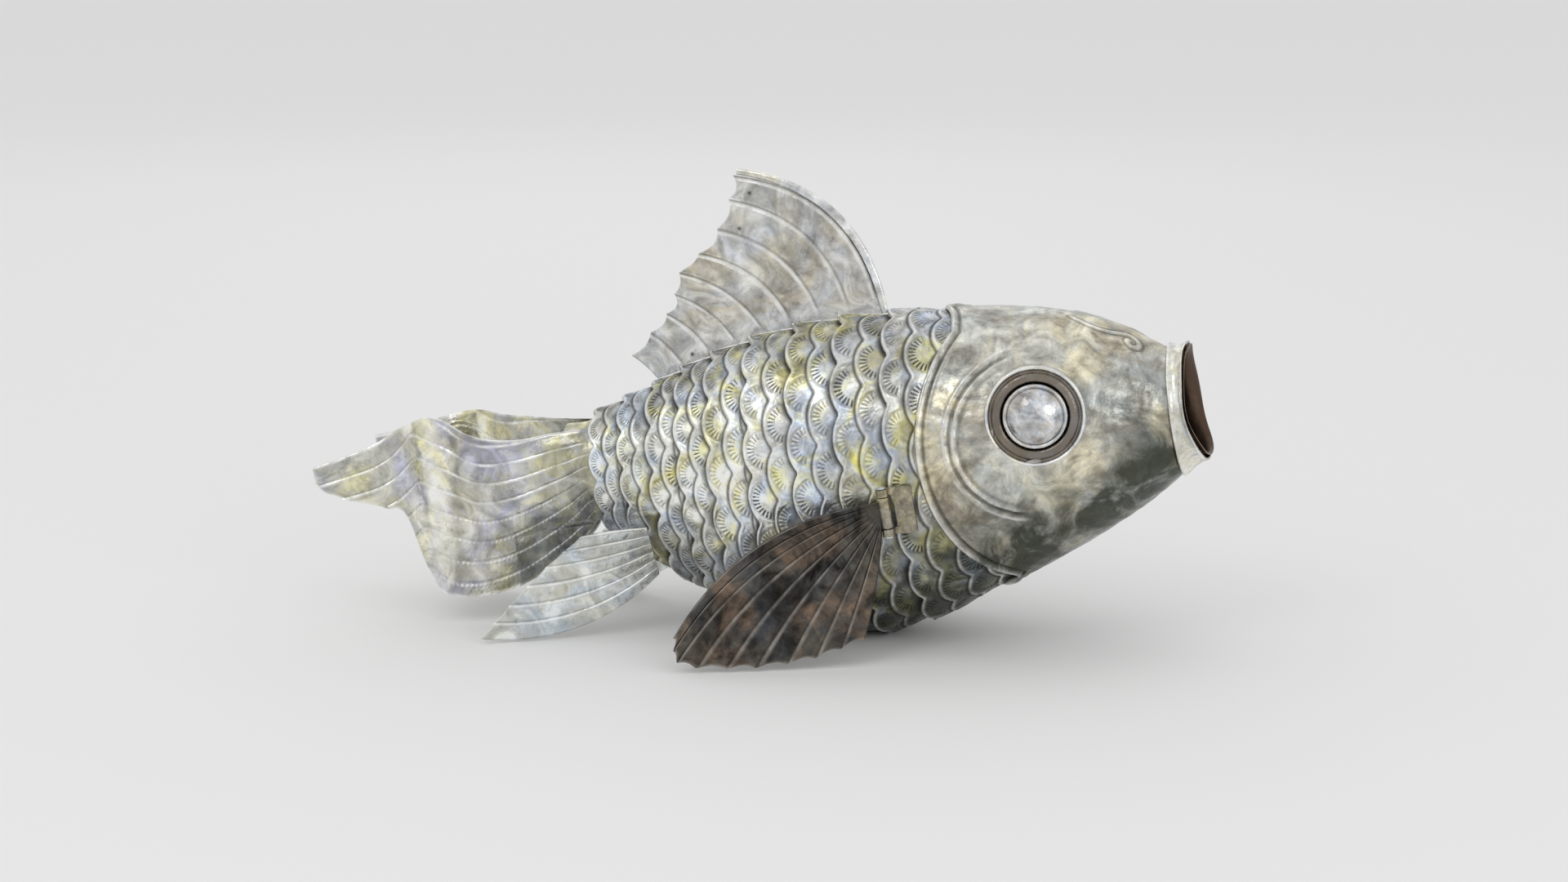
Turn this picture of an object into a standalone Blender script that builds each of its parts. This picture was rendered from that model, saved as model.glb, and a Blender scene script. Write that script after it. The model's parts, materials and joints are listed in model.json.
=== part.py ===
"""Articulated fish of chased sheet silver: a riveted chain of body rings, hinged pectoral fins.

The fish frame has s along the body from the tail root to the mouth, y to the fish's left and h up
across the body.  The whole fish stands nose-up by TILT on a flat under its second ring.
"""
import math

import bpy
import bmesh
import numpy as np
from mathutils import Matrix, Vector

MM = 0.001
GAP = 0.3 * MM

# Stance
TILT = math.radians(9.0)
AXIS_HEIGHT = 65.8 * MM
AXIS_START_X = -76.2 * MM

# Sheet and joints
WALL = 1.0 * MM
RING_PLAY = 0.9 * MM
RING_STEP = WALL + RING_PLAY
COLLAR = 6.0 * MM
RIVET_RADIUS = 1.2 * MM
RIVET_HEAD_RADIUS = 2.4 * MM
RIVET_HEAD = 0.8 * MM
RIVET_FLUSH = 0.25 * MM
RIVET_SIDES = 8
SIDES = 32
SHARP_EDGE = math.radians(35.0)

# Body outlines in the fish frame, millimetres along s
BACK = ((0, 23), (35, 34.5), (60, 43), (85, 49), (110, 52), (140, 52), (165, 50.5), (192, 47.5),
        (213, 43.5), (228, 38.5), (242, 31), (254, 23.5), (266, 21))
BELLY = ((0, -27), (20, -43), (41, -59), (70, -75), (100, -84.5), (120, -86), (140, -82),
         (165, -73.5), (200, -60), (222, -50), (240, -40.5), (254, -31), (266, -21.5))
WIDTH = ((0, 19), (20, 25), (40, 31), (60, 36), (80, 40), (110, 44.5), (140, 47), (165, 47.5),
         (190, 45), (210, 41), (230, 34), (245, 26.5), (256, 21.5), (266, 20.5))

# Rear edges of the nape collar and the eight body rings, front to rear
EDGES = (140, 118.5, 98, 78, 60, 46, 32, 18, 4)
STANDING_RING = 2
BAND_STATIONS = (0, 0.3, 0.65, 0.97)
COLLAR_START = 0.4

# Head
GILL_CENTRE = (200.0, -5.0)
GILL_REACH = 47.0
GILL_HEIGHT = 62.0
CROWN_REACH = 13.0
CROWN_ANGLE = 0.5
NAPE_LAP = 8.0
NAPE_STATIONS = ((0, 0), (0.34, 0), (0.6, 1), (1, 1))
HEAD_STATIONS = (0, 0.16, 0.32, 0.48, 0.62, 0.74, 0.84, 0.9, 0.95, 1)
HEAD_FRONT = 259.0
LIP_REAR = 255.5
LIP_FRONT = 265.0
LIP_SLANT = 0.07
LIP_CORNERS = 3.0 * MM
LIP_FLARE = 1.6 * MM
LIP_CLEARANCE = 3 * GAP
LINER_REAR = 250.5
LINER_FRONT = 266.0
LINER_FLARE = 0.4 * MM
EYE_CENTRE = (204.0, 7.0)
EYE_AXIS = (0.18, 0.98, 0.05)
EYE_RADIUS = 21.0 * MM
EYE_SIDES = 24
EYE_HOLE_FROM = -14.0 * MM
EYE_HOLE_TO = 12.0 * MM
BEZEL = ((21, -7.5), (21, -1.2), (20.6, 0.2), (19.8, 0.8), (18.8, 0.1), (17.5, -2.2), (15.6, -3.4),
         (13.8, -3.2), (13.8, -7.5))
DOME = ((0, 5.6), (3.4, 5.2), (6.7, 3.9), (9.6, 1.9), (11.9, -0.7), (13.1, -3.0), (13.4, -4.4),
        (13.4, -7.2), (0, -7.2))

# Fins
FIN_SHEET = 1.2 * MM
DORSAL_SHEET = 2.0 * MM
DORSAL_FRONT = 136.5
DORSAL_REAR = 35.0
DORSAL_HOVER = 1.3
SPINE_RADIUS = 1.7 * MM
SPINE_SIDES = 8
DORSAL_BULGE = (0.37, 0.08)
DORSAL_EDGE = (((0, 82), (0.14, 78), (0.3, 68), (0.5, 52), (0.7, 46), (0.85, 37), (1, 25)),
               ((0, 117), (0.14, 106), (0.3, 91), (0.5, 79), (0.7, 65), (0.85, 56.5), (1, 46)))
PECTORAL_ROOT = ((136.1, -20.0), (136.1, -29.0))
PECTORAL_BULGE = (0.27, -0.05)
PECTORAL_FLARE = 0.42
PECTORAL_CUP = 0.002
PECTORAL_EDGE = (((0, 51.5), (0.25, 53), (0.5, 76), (0.75, 102), (1, 124)),
                 ((0, -60), (0.25, -71), (0.5, -77), (0.75, -78.5), (1, -74.5)))
PELVIC_ROOT = ((29.0, -24.0), (30.5, -45.0))
PELVIC_BULGE = (0.05, -0.27)
PELVIC_OUT = 30.5
PELVIC_FLARE = 0.5
PELVIC_LEAN = 0.06
PELVIC_EDGE = (((0, 3.5), (0.35, -12), (0.7, -29), (1, -41)),
               ((0, -22.5), (0.35, -33), (0.7, -47), (1, -58)))

# Pectoral hinges
HINGE_AT = (138.0, 49.8, -24.5)
HINGE_LEAN = 0.1
KNUCKLE_RADIUS = 2.7 * MM
KNUCKLE_HALF = 6.7 * MM
KNUCKLE_SIDES = 16
PIN_RADIUS = 1.0 * MM
PIN_HEAD_RADIUS = 1.9 * MM
PIN_HEAD_RIM = 0.5 * MM
PIN_HEAD_TOP = 0.8 * MM
PIN_SIDES = 12
BRACKET_HALF = 10.0 * MM
BRACKET_WRAP = 240
BRACKET_LIP = -0.8 * MM
LEAF_LENGTH = 12.0 * MM
LEAF_UNDER = -KNUCKLE_RADIUS + 0.3 * MM
LEAF_OVER = -KNUCKLE_RADIUS + 1.5 * MM
SLOT_REAR = -8.0 * MM
SLOT_FRONT = 4.0 * MM
SLOT_DEPTH = 8.0 * MM
HOLE_HALF = 15.0 * MM

# Tail
TAIL_COLLAR_REAR = -9.0
TAIL_STEP = RING_STEP + FIN_SHEET + GAP
TAIL_ROOT = 8.5
TAIL_FLAT_FROM = -34.0
TAIL_WRAP = 2.5
TAIL_LEAST_WRAP = 0.02
TAIL_RIBS = 8
TAIL_STATIONS = (TAIL_ROOT, 2, -6, -14, -24, -34, -42, -49, -55, -60, -65, -70, -74, -77, -80, -85,
                 -92, -100, -108, -113.5)
TAIL_TOP = ((-115, 18.5), (-104, 20.5), (-89, 24), (-73, 31), (-57, 33), (-46, 23.5), (-30, 18),
            (-12, 18), (9, 18))
TAIL_BOTTOM = ((-115, 13), (-112, 9), (-104, 3), (-88, -4), (-79, -12), (-75.5, -27), (-70, -39),
               (-60, -45), (-47, -47), (-29, -43.5), (-8, -31), (2, -22), (9, -22))
TAIL_SPREAD = ((-115, 38), (-95, 30), (-78, 24), (-62, 32), (-50, 27), (-30, 20), (-14, 17.2), (4, 17.6),
               (9, 17.6))

SILVER = (0.62, 0.62, 0.58, 1.0)
PALE_SILVER = (0.74, 0.74, 0.71, 1.0)
COPPER = (0.42, 0.22, 0.14, 1.0)


def clear_scene():
    for obj in list(bpy.data.objects):
        bpy.data.objects.remove(obj, do_unlink=True)


def material(name, colour, roughness):
    made = bpy.data.materials.new(name + "_material")
    made.use_nodes = True
    shader = made.node_tree.nodes["Principled BSDF"]
    shader.inputs["Base Color"].default_value = colour
    shader.inputs["Roughness"].default_value = roughness
    shader.inputs["Metallic"].default_value = 1.0
    return made


def curve(points, x):
    """Smooth curve through (x, value) points, held at its end values."""
    xs = np.array([p[0] for p in points], dtype=float)
    ys = np.array([p[1] for p in points], dtype=float)
    slopes = np.gradient(ys, xs)
    x = np.clip(np.asarray(x, dtype=float), xs[0], xs[-1])
    i = np.clip(np.searchsorted(xs, x) - 1, 0, len(xs) - 2)
    width = xs[i + 1] - xs[i]
    t = (x - xs[i]) / width
    start = (2 * t**3 - 3 * t**2 + 1) * ys[i] + (t**3 - 2 * t**2 + t) * width * slopes[i]
    end = (3 * t**2 - 2 * t**3) * ys[i + 1] + (t**3 - t**2) * width * slopes[i + 1]
    return start + end


def place(s, y, h):
    """World point of a fish-frame point given in metres."""
    x = s * math.cos(TILT) - h * math.sin(TILT) + AXIS_START_X
    z = s * math.sin(TILT) + h * math.cos(TILT) + AXIS_HEIGHT
    return Vector((x, y, z))


def fish_matrix(origin, x_axis, y_axis, z_axis):
    """World matrix of a small frame given by its origin and axes in the fish frame."""
    turn = Matrix.Rotation(-TILT, 4, "Y")
    axes = Matrix((x_axis, y_axis, z_axis)).transposed().to_4x4()
    return Matrix.Translation(place(*origin)) @ turn @ axes


def section_sizes(s_mm):
    """Top, bottom and half width of the body at a station, in metres."""
    return curve(BACK, s_mm) * MM, curve(BELLY, s_mm) * MM, curve(WIDTH, s_mm) * MM


def oval_point(s, sizes, angle, offset, lowest):
    """Point of an oval section grown by offset, kept above the height lowest."""
    top, bottom, half = sizes
    centre = (top + bottom) / 2
    tall = (top - bottom) / 2 + offset
    point = place(s, (half + offset) * math.sin(angle), centre + tall * math.cos(angle))
    point.z = max(point.z, lowest)
    return point


def new_object(name, verts, faces, colour, roughness):
    mesh = bpy.data.meshes.new(name)
    mesh.from_pydata([tuple(v) for v in verts], [], faces)
    bm = bmesh.new()
    bm.from_mesh(mesh)
    bmesh.ops.recalc_face_normals(bm, faces=bm.faces)
    bm.to_mesh(mesh)
    bm.free()
    mesh.shade_smooth()
    mesh.set_sharp_from_angle(angle=SHARP_EDGE)
    obj = bpy.data.objects.new(name, mesh)
    bpy.context.scene.collection.objects.link(obj)
    mesh.materials.append(material(name, colour, roughness))
    return obj


def sheet_solid(name, outer, inner, wrap, colour=SILVER, roughness=0.32):
    """Closed solid between two grids of points; wrap joins the last row to the first."""
    rows = len(outer)
    columns = len(outer[0])
    verts = [p for grid in (outer, inner) for row in grid for p in row]
    back = rows * columns

    def at(row, column, side):
        return side * back + (row % rows) * columns + column

    faces = []
    for row in range(rows if wrap else rows - 1):
        for column in range(columns - 1):
            quad = [(row, column), (row + 1, column), (row + 1, column + 1), (row, column + 1)]
            faces.append([at(r, c, 0) for r, c in quad])
            faces.append([at(r, c, 1) for r, c in reversed(quad)])
        for column in (0, columns - 1):
            faces.append([at(row, column, 0), at(row, column, 1),
                          at(row + 1, column, 1), at(row + 1, column, 0)])
    if not wrap:
        for row in (0, rows - 1):
            for column in range(columns - 1):
                faces.append([at(row, column, 0), at(row, column, 1),
                              at(row, column + 1, 1), at(row, column + 1, 0)])
    return new_object(name, verts, faces, colour, roughness)


def shell(name, stations, colour=SILVER, roughness=0.32):
    """Oval tube; each station is a function of the angle giving (s, sizes, offset, lowest)."""
    outer = []
    inner = []
    for side in range(SIDES):
        angle = 2 * math.pi * side / SIDES
        rows = [station(angle) for station in stations]
        outer.append([oval_point(s, sizes, angle, offset, low) for s, sizes, offset, low in rows])
        inner.append([oval_point(s, sizes, angle, offset - WALL, low + WALL)
                      for s, sizes, offset, low in rows])
    return sheet_solid(name, outer, inner, True, colour, roughness)


def lathe(name, profile, matrix, sides, colour=SILVER, roughness=0.3):
    """Solid of revolution about local Z from a closed (radius, height) profile."""
    verts = []
    rings = []
    for radius, height in profile:
        if radius == 0:
            verts.append(matrix @ Vector((0, 0, height)))
            rings.append([len(verts) - 1] * sides)
            continue
        first = len(verts)
        for side in range(sides):
            angle = 2 * math.pi * side / sides
            verts.append(matrix @ Vector((radius * math.cos(angle), radius * math.sin(angle), height)))
        rings.append(list(range(first, first + sides)))
    faces = []
    for index, ring in enumerate(rings):
        following = rings[(index + 1) % len(rings)]
        for side in range(sides):
            after = (side + 1) % sides
            corners = [ring[side], ring[after], following[after], following[side]]
            kept = list(dict.fromkeys(corners))
            if len(kept) > 2:
                faces.append(kept)
    return new_object(name, verts, faces, colour, roughness)


def plug(radius, low, high):
    """Profile of a plain round plug."""
    return [(0, high), (radius, high), (radius, low), (0, low)]


def cut(obj, cutter, operation="DIFFERENCE"):
    cutter.hide_render = True
    cutter.display_type = "WIRE"
    modifier = obj.modifiers.new(operation.title(), "BOOLEAN")
    modifier.operation = operation
    modifier.solver = "EXACT"
    modifier.object = cutter


def ring_station(s_mm, offset, lowest):
    sizes = section_sizes(s_mm)
    return lambda angle: (s_mm * MM, sizes, offset, lowest)


def collar_station(edge, ahead, step=RING_STEP):
    """Front collar of a ring: no larger than the body at the edge it slides under."""
    at_edge = section_sizes(edge)
    here = section_sizes(edge + ahead)
    sizes = (min(at_edge[0], here[0]), max(at_edge[1], here[1]), min(at_edge[2], here[2]))
    return lambda angle: ((edge + ahead) * MM, sizes, -step, step)


def rivet_frame(edge, sign):
    """Frame of the pivot rivet under an edge: Z points out of the body, plus its grip length."""
    s_mm = edge + COLLAR / MM / 2
    line = BACK if sign > 0 else BELLY
    slope = float(curve(line, s_mm + 1) - curve(line, s_mm - 1)) / 2
    normal = Vector((-slope * sign, 0, 1)).normalized()
    flare = -RING_STEP * (s_mm - edge) / (EDGES[0] - EDGES[1])
    surface = float(curve(line, s_mm)) * MM + sign * flare
    narrowest = min(sign * float(curve(line, edge)), sign * float(curve(line, edge + COLLAR / MM)))
    step = TAIL_STEP if edge == EDGES[-1] else RING_STEP
    collar_inside = sign * (narrowest * MM - step - WALL)
    grip = abs(surface - collar_inside) * normal.z + RIVET_HEAD_RADIUS * abs(slope) + GAP
    out = Vector((normal.x, 0, normal.z * sign))
    origin = (s_mm * MM, 0, surface)
    if sign < 0 and place(*origin).z < 0:
        origin = (s_mm * MM, 0, surface - place(*origin).z / math.cos(TILT))
    side = Vector((0, 1, 0))
    return fish_matrix(origin, side.cross(out), side, out), grip


def rivet_hole(name, edges):
    """One cutter holding the upright holes at the given edges, top and bottom."""
    bm = bmesh.new()
    for edge in edges:
        for sign in (1, -1):
            frame, grip = rivet_frame(edge, sign)
            bmesh.ops.create_cone(bm, cap_ends=True, segments=RIVET_SIDES, radius1=RIVET_RADIUS + GAP,
                                  radius2=RIVET_RADIUS + GAP, depth=6 * grip, matrix=frame)
    mesh = bpy.data.meshes.new(name)
    bm.to_mesh(mesh)
    bm.free()
    obj = bpy.data.objects.new(name, mesh)
    bpy.context.scene.collection.objects.link(obj)
    return obj


def make_rings():
    """Eight lapped rings: a flared band behind, a plain collar sliding under the part in front."""
    for number in range(1, len(EDGES)):
        front = EDGES[number - 1]
        rear = EDGES[number]
        stations = []
        for part in BAND_STATIONS:
            offset = -RING_STEP * part
            lowest = 0 if number == STANDING_RING else GAP - offset
            stations.append(ring_station(rear + (front - rear) * part, offset, lowest))
        stations.append(collar_station(front, COLLAR_START))
        stations.append(collar_station(front, COLLAR / MM))
        ring = shell("body_ring_%d" % number, stations)
        cut(ring, rivet_hole("ring_%d_holes" % number, (front, rear)))


def make_rivets():
    names = ["nape"] + ["ring_%d" % number for number in range(1, len(EDGES))]
    for edge, name in zip(EDGES, names):
        for sign, place_name in ((1, "top"), (-1, "bottom")):
            frame, grip = rivet_frame(edge, sign)
            low = -grip - GAP
            profile = [(0, -RIVET_FLUSH), (RIVET_RADIUS, -RIVET_FLUSH), (RIVET_RADIUS, low),
                       (RIVET_HEAD_RADIUS, low), (RIVET_HEAD_RADIUS * 0.7, low - RIVET_HEAD),
                       (0, low - RIVET_HEAD)]
            lathe("%s_rivet_%s" % (name, place_name), profile, frame, RIVET_SIDES, PALE_SILVER)


def gill_edge(angle):
    """Station of the gill-cover edge at an angle round the body; a point runs back over the crown."""
    s_mm = GILL_CENTRE[0] - GILL_REACH
    for _ in range(8):
        top, bottom, _half = section_sizes(s_mm)
        height = ((top + bottom) / 2 + (top - bottom) / 2 * math.cos(angle)) / MM
        share = min(abs(height - GILL_CENTRE[1]) / GILL_HEIGHT, 1.0)
        s_mm = GILL_CENTRE[0] - GILL_REACH * math.sqrt(1 - share * share)
    from_top = abs(math.remainder(angle, 2 * math.pi))
    return s_mm - CROWN_REACH * max(1 - from_top / CROWN_ANGLE, 0)


def make_nape():
    def station(part, sunk):
        def at(angle):
            rear = EDGES[0]
            s_mm = rear + (gill_edge(angle) + NAPE_LAP - rear) * part
            return s_mm * MM, section_sizes(s_mm), -(WALL + GAP) * sunk, 0
        return at
    nape = shell("nape_collar", [station(part, sunk) for part, sunk in NAPE_STATIONS])
    cut(nape, rivet_hole("nape_holes", EDGES[:1]))


def make_head():
    def station(part):
        def at(angle):
            rear = gill_edge(angle)
            s_mm = rear + (HEAD_FRONT - rear) * part
            return s_mm * MM, section_sizes(s_mm), 0, 0
        return at
    head = shell("head_mask", [station(part) for part in HEAD_STATIONS])
    for side, sign in (("right", -1), ("left", 1)):
        hole = lathe("eye_hole_" + side, plug(EYE_RADIUS + GAP, EYE_HOLE_FROM, EYE_HOLE_TO),
                     eye_frame(sign), EYE_SIDES)
        cut(head, hole)


def lip_station(s_mm, offset):
    """Station of the mouth: slanted towards the chin, its corners drawn back."""
    sizes = section_sizes(s_mm)

    def at(angle):
        height = math.cos(angle) * (sizes[0] - sizes[1]) / 2
        slant = (s_mm - LIP_REAR) / (LIP_FRONT - LIP_REAR)
        back = LIP_SLANT * height + LIP_CORNERS * math.sin(angle)**2
        return s_mm * MM - back * slant, sizes, offset, 0
    return at


def make_mouth():
    over = WALL + LIP_CLEARANCE
    shell("mouth_lip", [lip_station(LIP_REAR, over), lip_station(HEAD_FRONT + 1, over),
                        lip_station(LIP_FRONT - 2, over + LIP_FLARE / 2),
                        lip_station(LIP_FRONT, over + LIP_FLARE)], PALE_SILVER, 0.25)
    shell("mouth_liner", [lip_station(LINER_REAR, -over), lip_station(HEAD_FRONT, -over),
                          lip_station(LINER_FRONT, LINER_FLARE - over)], COPPER, 0.45)


def eye_frame(sign):
    """Frame of an eye, Z out of the head."""
    s_mm, height = EYE_CENTRE
    top, bottom, half = section_sizes(s_mm)
    rise = (height * MM - (top + bottom) / 2) / ((top - bottom) / 2)
    out = Vector((EYE_AXIS[0], sign * EYE_AXIS[1], EYE_AXIS[2])).normalized()
    up = Vector((0, 0, 1))
    along = up.cross(out).normalized()
    origin = (s_mm * MM, sign * half * math.sqrt(1 - rise * rise), height * MM)
    return fish_matrix(origin, along, out.cross(along), out)


def make_eyes():
    for side, sign in (("right", -1), ("left", 1)):
        for name, profile in (("eye_bezel_", BEZEL), ("eye_dome_", DOME)):
            points = [(radius * MM, height * MM) for radius, height in profile]
            lathe(name + side, points, eye_frame(sign), EYE_SIDES, PALE_SILVER, 0.18)


def fan_points(root, edge, bulge, lateral, rays, steps):
    """Grid of a fin: each ray runs from its root point to its edge point, curved by bulge."""
    grid = []
    for ray in range(rays + 1):
        v = ray / rays
        start = np.array(root(v))
        end = np.array([float(curve(edge[0], v)), float(curve(edge[1], v))])
        along = end - start
        bend = bulge[0] + (bulge[1] - bulge[0]) * v
        control = (start + end) / 2 + bend * np.array([along[1], -along[0]])
        row = []
        for step in range(steps + 1):
            t = step / steps
            s_mm, h_mm = (1 - t)**2 * start + 2 * t * (1 - t) * control + t * t * end
            row.append((s_mm, lateral(s_mm, h_mm), h_mm))
        grid.append(row)
    return grid


def fin_solid(name, grid, thickness, sign=1, colour=SILVER):
    outer = []
    inner = []
    for row in grid:
        outer.append([place(s * MM, sign * (y * MM + thickness / 2), h * MM) for s, y, h in row])
        inner.append([place(s * MM, sign * (y * MM - thickness / 2), h * MM) for s, y, h in row])
    return sheet_solid(name, outer, inner, False, colour)


def dorsal_root(v):
    s_mm = DORSAL_FRONT + (DORSAL_REAR - DORSAL_FRONT) * v
    return s_mm, float(curve(BACK, s_mm)) + DORSAL_HOVER


def make_dorsal():
    grid = fan_points(dorsal_root, DORSAL_EDGE, DORSAL_BULGE, lambda s, h: 0.0, 12, 6)
    fin_solid("dorsal_fin_blade", grid, DORSAL_SHEET)
    lead = [place(s * MM, 0, h * MM) for s, _y, h in grid[0]]
    beside = []
    for index, point in enumerate(lead):
        along = lead[min(index + 1, len(lead) - 1)] - lead[max(index - 1, 0)]
        beside.append(point + along.cross(Vector((0, -1, 0))).normalized() * (SPINE_RADIUS + 2 * GAP))
    tube("dorsal_fin_spine", beside, SPINE_RADIUS)


def tube(name, points, radius, sides=SPINE_SIDES):
    """Round bead in the middle plane of the fish along world points."""
    verts = []
    for index, point in enumerate(points):
        ahead = points[min(index + 1, len(points) - 1)] - points[max(index - 1, 0)]
        across = ahead.cross(Vector((0, 1, 0))).normalized()
        for side in range(sides):
            angle = 2 * math.pi * side / sides
            verts.append(point + radius * (math.cos(angle) * across + math.sin(angle) * Vector((0, 1, 0))))
    faces = []
    for index in range(len(points) - 1):
        for side in range(sides):
            after = (side + 1) % sides
            faces.append([index * sides + side, index * sides + after,
                          (index + 1) * sides + after, (index + 1) * sides + side])
    faces.append(list(range(sides)))
    faces.append(list(range(len(verts) - sides, len(verts))))
    return new_object(name, verts, faces, PALE_SILVER, 0.25)


def hinge_frame(sign):
    """Frame of a pectoral hinge: X forward, Y out of the body, Z along the pin."""
    s_mm, y_mm, h_mm = HINGE_AT
    pin = Vector((0, sign * HINGE_LEAN, 1)).normalized()
    out = Vector((0, sign, -HINGE_LEAN)).normalized()
    return fish_matrix((s_mm * MM, sign * y_mm * MM, h_mm * MM), Vector((1, 0, 0)), out, pin)


def extrude(name, outline, low, high, matrix, colour=SILVER):
    count = len(outline)
    verts = [matrix @ Vector((x, y, z)) for z in (low, high) for x, y in outline]
    faces = [[i, (i + 1) % count, count + (i + 1) % count, count + i] for i in range(count)]
    faces.append(list(range(count)))
    faces.append(list(range(count, 2 * count)))
    return new_object(name, verts, faces, colour, 0.32)


def box_outline(x0, x1, y0, y1):
    return [(x0, y0), (x1, y0), (x1, y1), (x0, y1)]


def pectoral_lateral(s_mm, h_mm):
    """Distance of the pectoral sheet from the middle plane: flared rearward and cupped."""
    return (HINGE_AT[1] + PECTORAL_FLARE * (HINGE_AT[0] - s_mm)
            + PECTORAL_CUP * (h_mm - HINGE_AT[2]) ** 2)


def pelvic_lateral(s_mm, h_mm):
    """Distance of the pelvic sheet from the middle plane: flared rearward, leaning in below."""
    return (PELVIC_OUT + PELVIC_FLARE * (PELVIC_ROOT[0][0] - s_mm)
            + PELVIC_LEAN * (h_mm - PELVIC_ROOT[0][1]))


def straight_root(ends):
    """Root of a fin as a straight line between two (s, h) points."""
    first, last = np.array(ends[0]), np.array(ends[1])
    return lambda v: first + (last - first) * v


def make_pectoral(side, sign):
    frame = hinge_frame(sign)
    wrap = [(KNUCKLE_RADIUS * math.cos(a), KNUCKLE_RADIUS * math.sin(a))
            for a in np.radians(np.arange(0, BRACKET_WRAP + 1, 30))]
    outline = wrap + [(BRACKET_LIP, LEAF_UNDER), (LEAF_LENGTH, LEAF_UNDER), (LEAF_LENGTH, LEAF_OVER),
                      (KNUCKLE_RADIUS, LEAF_OVER)]
    bracket = extrude("pectoral_bracket_" + side, outline, -BRACKET_HALF, BRACKET_HALF, frame)
    slot = extrude("pectoral_slot_" + side, box_outline(SLOT_REAR, SLOT_FRONT, -SLOT_DEPTH, SLOT_DEPTH),
                   -KNUCKLE_HALF - GAP, KNUCKLE_HALF + GAP, frame)
    hole = lathe("pectoral_hole_" + side, plug(PIN_RADIUS + GAP, -HOLE_HALF, HOLE_HALF), frame, PIN_SIDES)
    cut(bracket, slot)
    cut(bracket, hole)
    make_pin("pectoral_pin_" + side, frame)
    grid = fan_points(straight_root(PECTORAL_ROOT), PECTORAL_EDGE, PECTORAL_BULGE, pectoral_lateral, 10, 9)
    blade = fin_solid("pectoral_fin_" + side, grid, FIN_SHEET, sign)
    knuckle = lathe("pectoral_knuckle_" + side, plug(KNUCKLE_RADIUS, -KNUCKLE_HALF, KNUCKLE_HALF), frame,
                    KNUCKLE_SIDES)
    cut(blade, knuckle, "UNION")
    cut(blade, hole)


def make_pin(name, frame):
    """Hinge pin with a low head at each end."""
    end = BRACKET_HALF + GAP
    upper = [(0, end + PIN_HEAD_TOP), (PIN_HEAD_RADIUS, end + PIN_HEAD_RIM), (PIN_HEAD_RADIUS, end),
             (PIN_RADIUS, end)]
    lower = [(radius, -height) for radius, height in reversed(upper)]
    lathe(name, upper + lower, frame, PIN_SIDES, PALE_SILVER)


def make_pelvic(side, sign):
    grid = fan_points(straight_root(PELVIC_ROOT), PELVIC_EDGE, PELVIC_BULGE, pelvic_lateral, 8, 8)
    fin_solid("pelvic_fin_" + side, grid, FIN_SHEET, sign)


def tail_lateral(s_mm, h_mm):
    """Distance of a tail sheet from the middle plane: wrapped on the root, flat and waved behind."""
    rear = min(s_mm, EDGES[-1])
    top = float(curve(BACK, rear))
    bottom = float(curve(BELLY, rear))
    reach = (h_mm - (top + bottom) / 2) / ((top - bottom) / 2 - TAIL_WRAP)
    wrapped = math.sqrt(max(1 - reach * reach, TAIL_LEAST_WRAP))
    flat = min(max((TAIL_ROOT - s_mm) / (TAIL_ROOT - TAIL_FLAT_FROM), 0), 1)
    return float(curve(TAIL_SPREAD, s_mm)) * (wrapped + (1 - wrapped) * flat)


def make_tail():
    rear = EDGES[-1]
    aheads = (TAIL_COLLAR_REAR - rear, -rear, 0, COLLAR / MM)
    collar = shell("tail_root_collar", [collar_station(rear, ahead, TAIL_STEP) for ahead in aheads])
    cut(collar, rivet_hole("tail_holes", EDGES[-1:]))
    for side, sign in (("right", -1), ("left", 1)):
        grid = []
        for s_mm in TAIL_STATIONS:
            top = float(curve(TAIL_TOP, s_mm))
            bottom = float(curve(TAIL_BOTTOM, s_mm))
            heights = [top + (bottom - top) * part / TAIL_RIBS for part in range(TAIL_RIBS + 1)]
            grid.append([(s_mm, tail_lateral(s_mm, h_mm), h_mm) for h_mm in heights])
        fin_solid("tail_lobe_" + side, grid, FIN_SHEET, sign)


def main():
    clear_scene()
    make_head()
    make_nape()
    make_mouth()
    make_eyes()
    make_rings()
    make_rivets()
    make_dorsal()
    for side, sign in (("right", -1), ("left", 1)):
        make_pectoral(side, sign)
        make_pelvic(side, sign)
    make_tail()


main()
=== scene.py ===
"""Looks of the articulated silver fish: chased scales, hammered head, rayed fins and studio."""
import json
import math

import bmesh
import bpy
import numpy as np
from mathutils import Matrix, Vector


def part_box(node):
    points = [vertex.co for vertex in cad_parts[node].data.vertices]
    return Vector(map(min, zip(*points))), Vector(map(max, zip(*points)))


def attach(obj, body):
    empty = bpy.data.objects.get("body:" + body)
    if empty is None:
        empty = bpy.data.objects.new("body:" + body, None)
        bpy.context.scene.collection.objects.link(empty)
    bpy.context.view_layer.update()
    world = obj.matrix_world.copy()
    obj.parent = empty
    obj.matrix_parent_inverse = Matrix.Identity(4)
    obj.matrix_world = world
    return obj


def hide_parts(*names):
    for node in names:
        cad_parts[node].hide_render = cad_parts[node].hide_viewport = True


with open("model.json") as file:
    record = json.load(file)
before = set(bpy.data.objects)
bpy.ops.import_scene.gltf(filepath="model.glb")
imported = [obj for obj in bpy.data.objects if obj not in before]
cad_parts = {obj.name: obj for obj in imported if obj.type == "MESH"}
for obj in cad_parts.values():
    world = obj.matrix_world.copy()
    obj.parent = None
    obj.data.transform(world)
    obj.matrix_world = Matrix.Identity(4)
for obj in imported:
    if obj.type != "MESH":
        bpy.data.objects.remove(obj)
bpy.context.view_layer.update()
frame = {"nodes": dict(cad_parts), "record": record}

MM = 0.001
RECORD = frame["record"]
JOINTS = {joint["name"]: joint for joint in RECORD["behaviour"]["joints"]}

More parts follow.
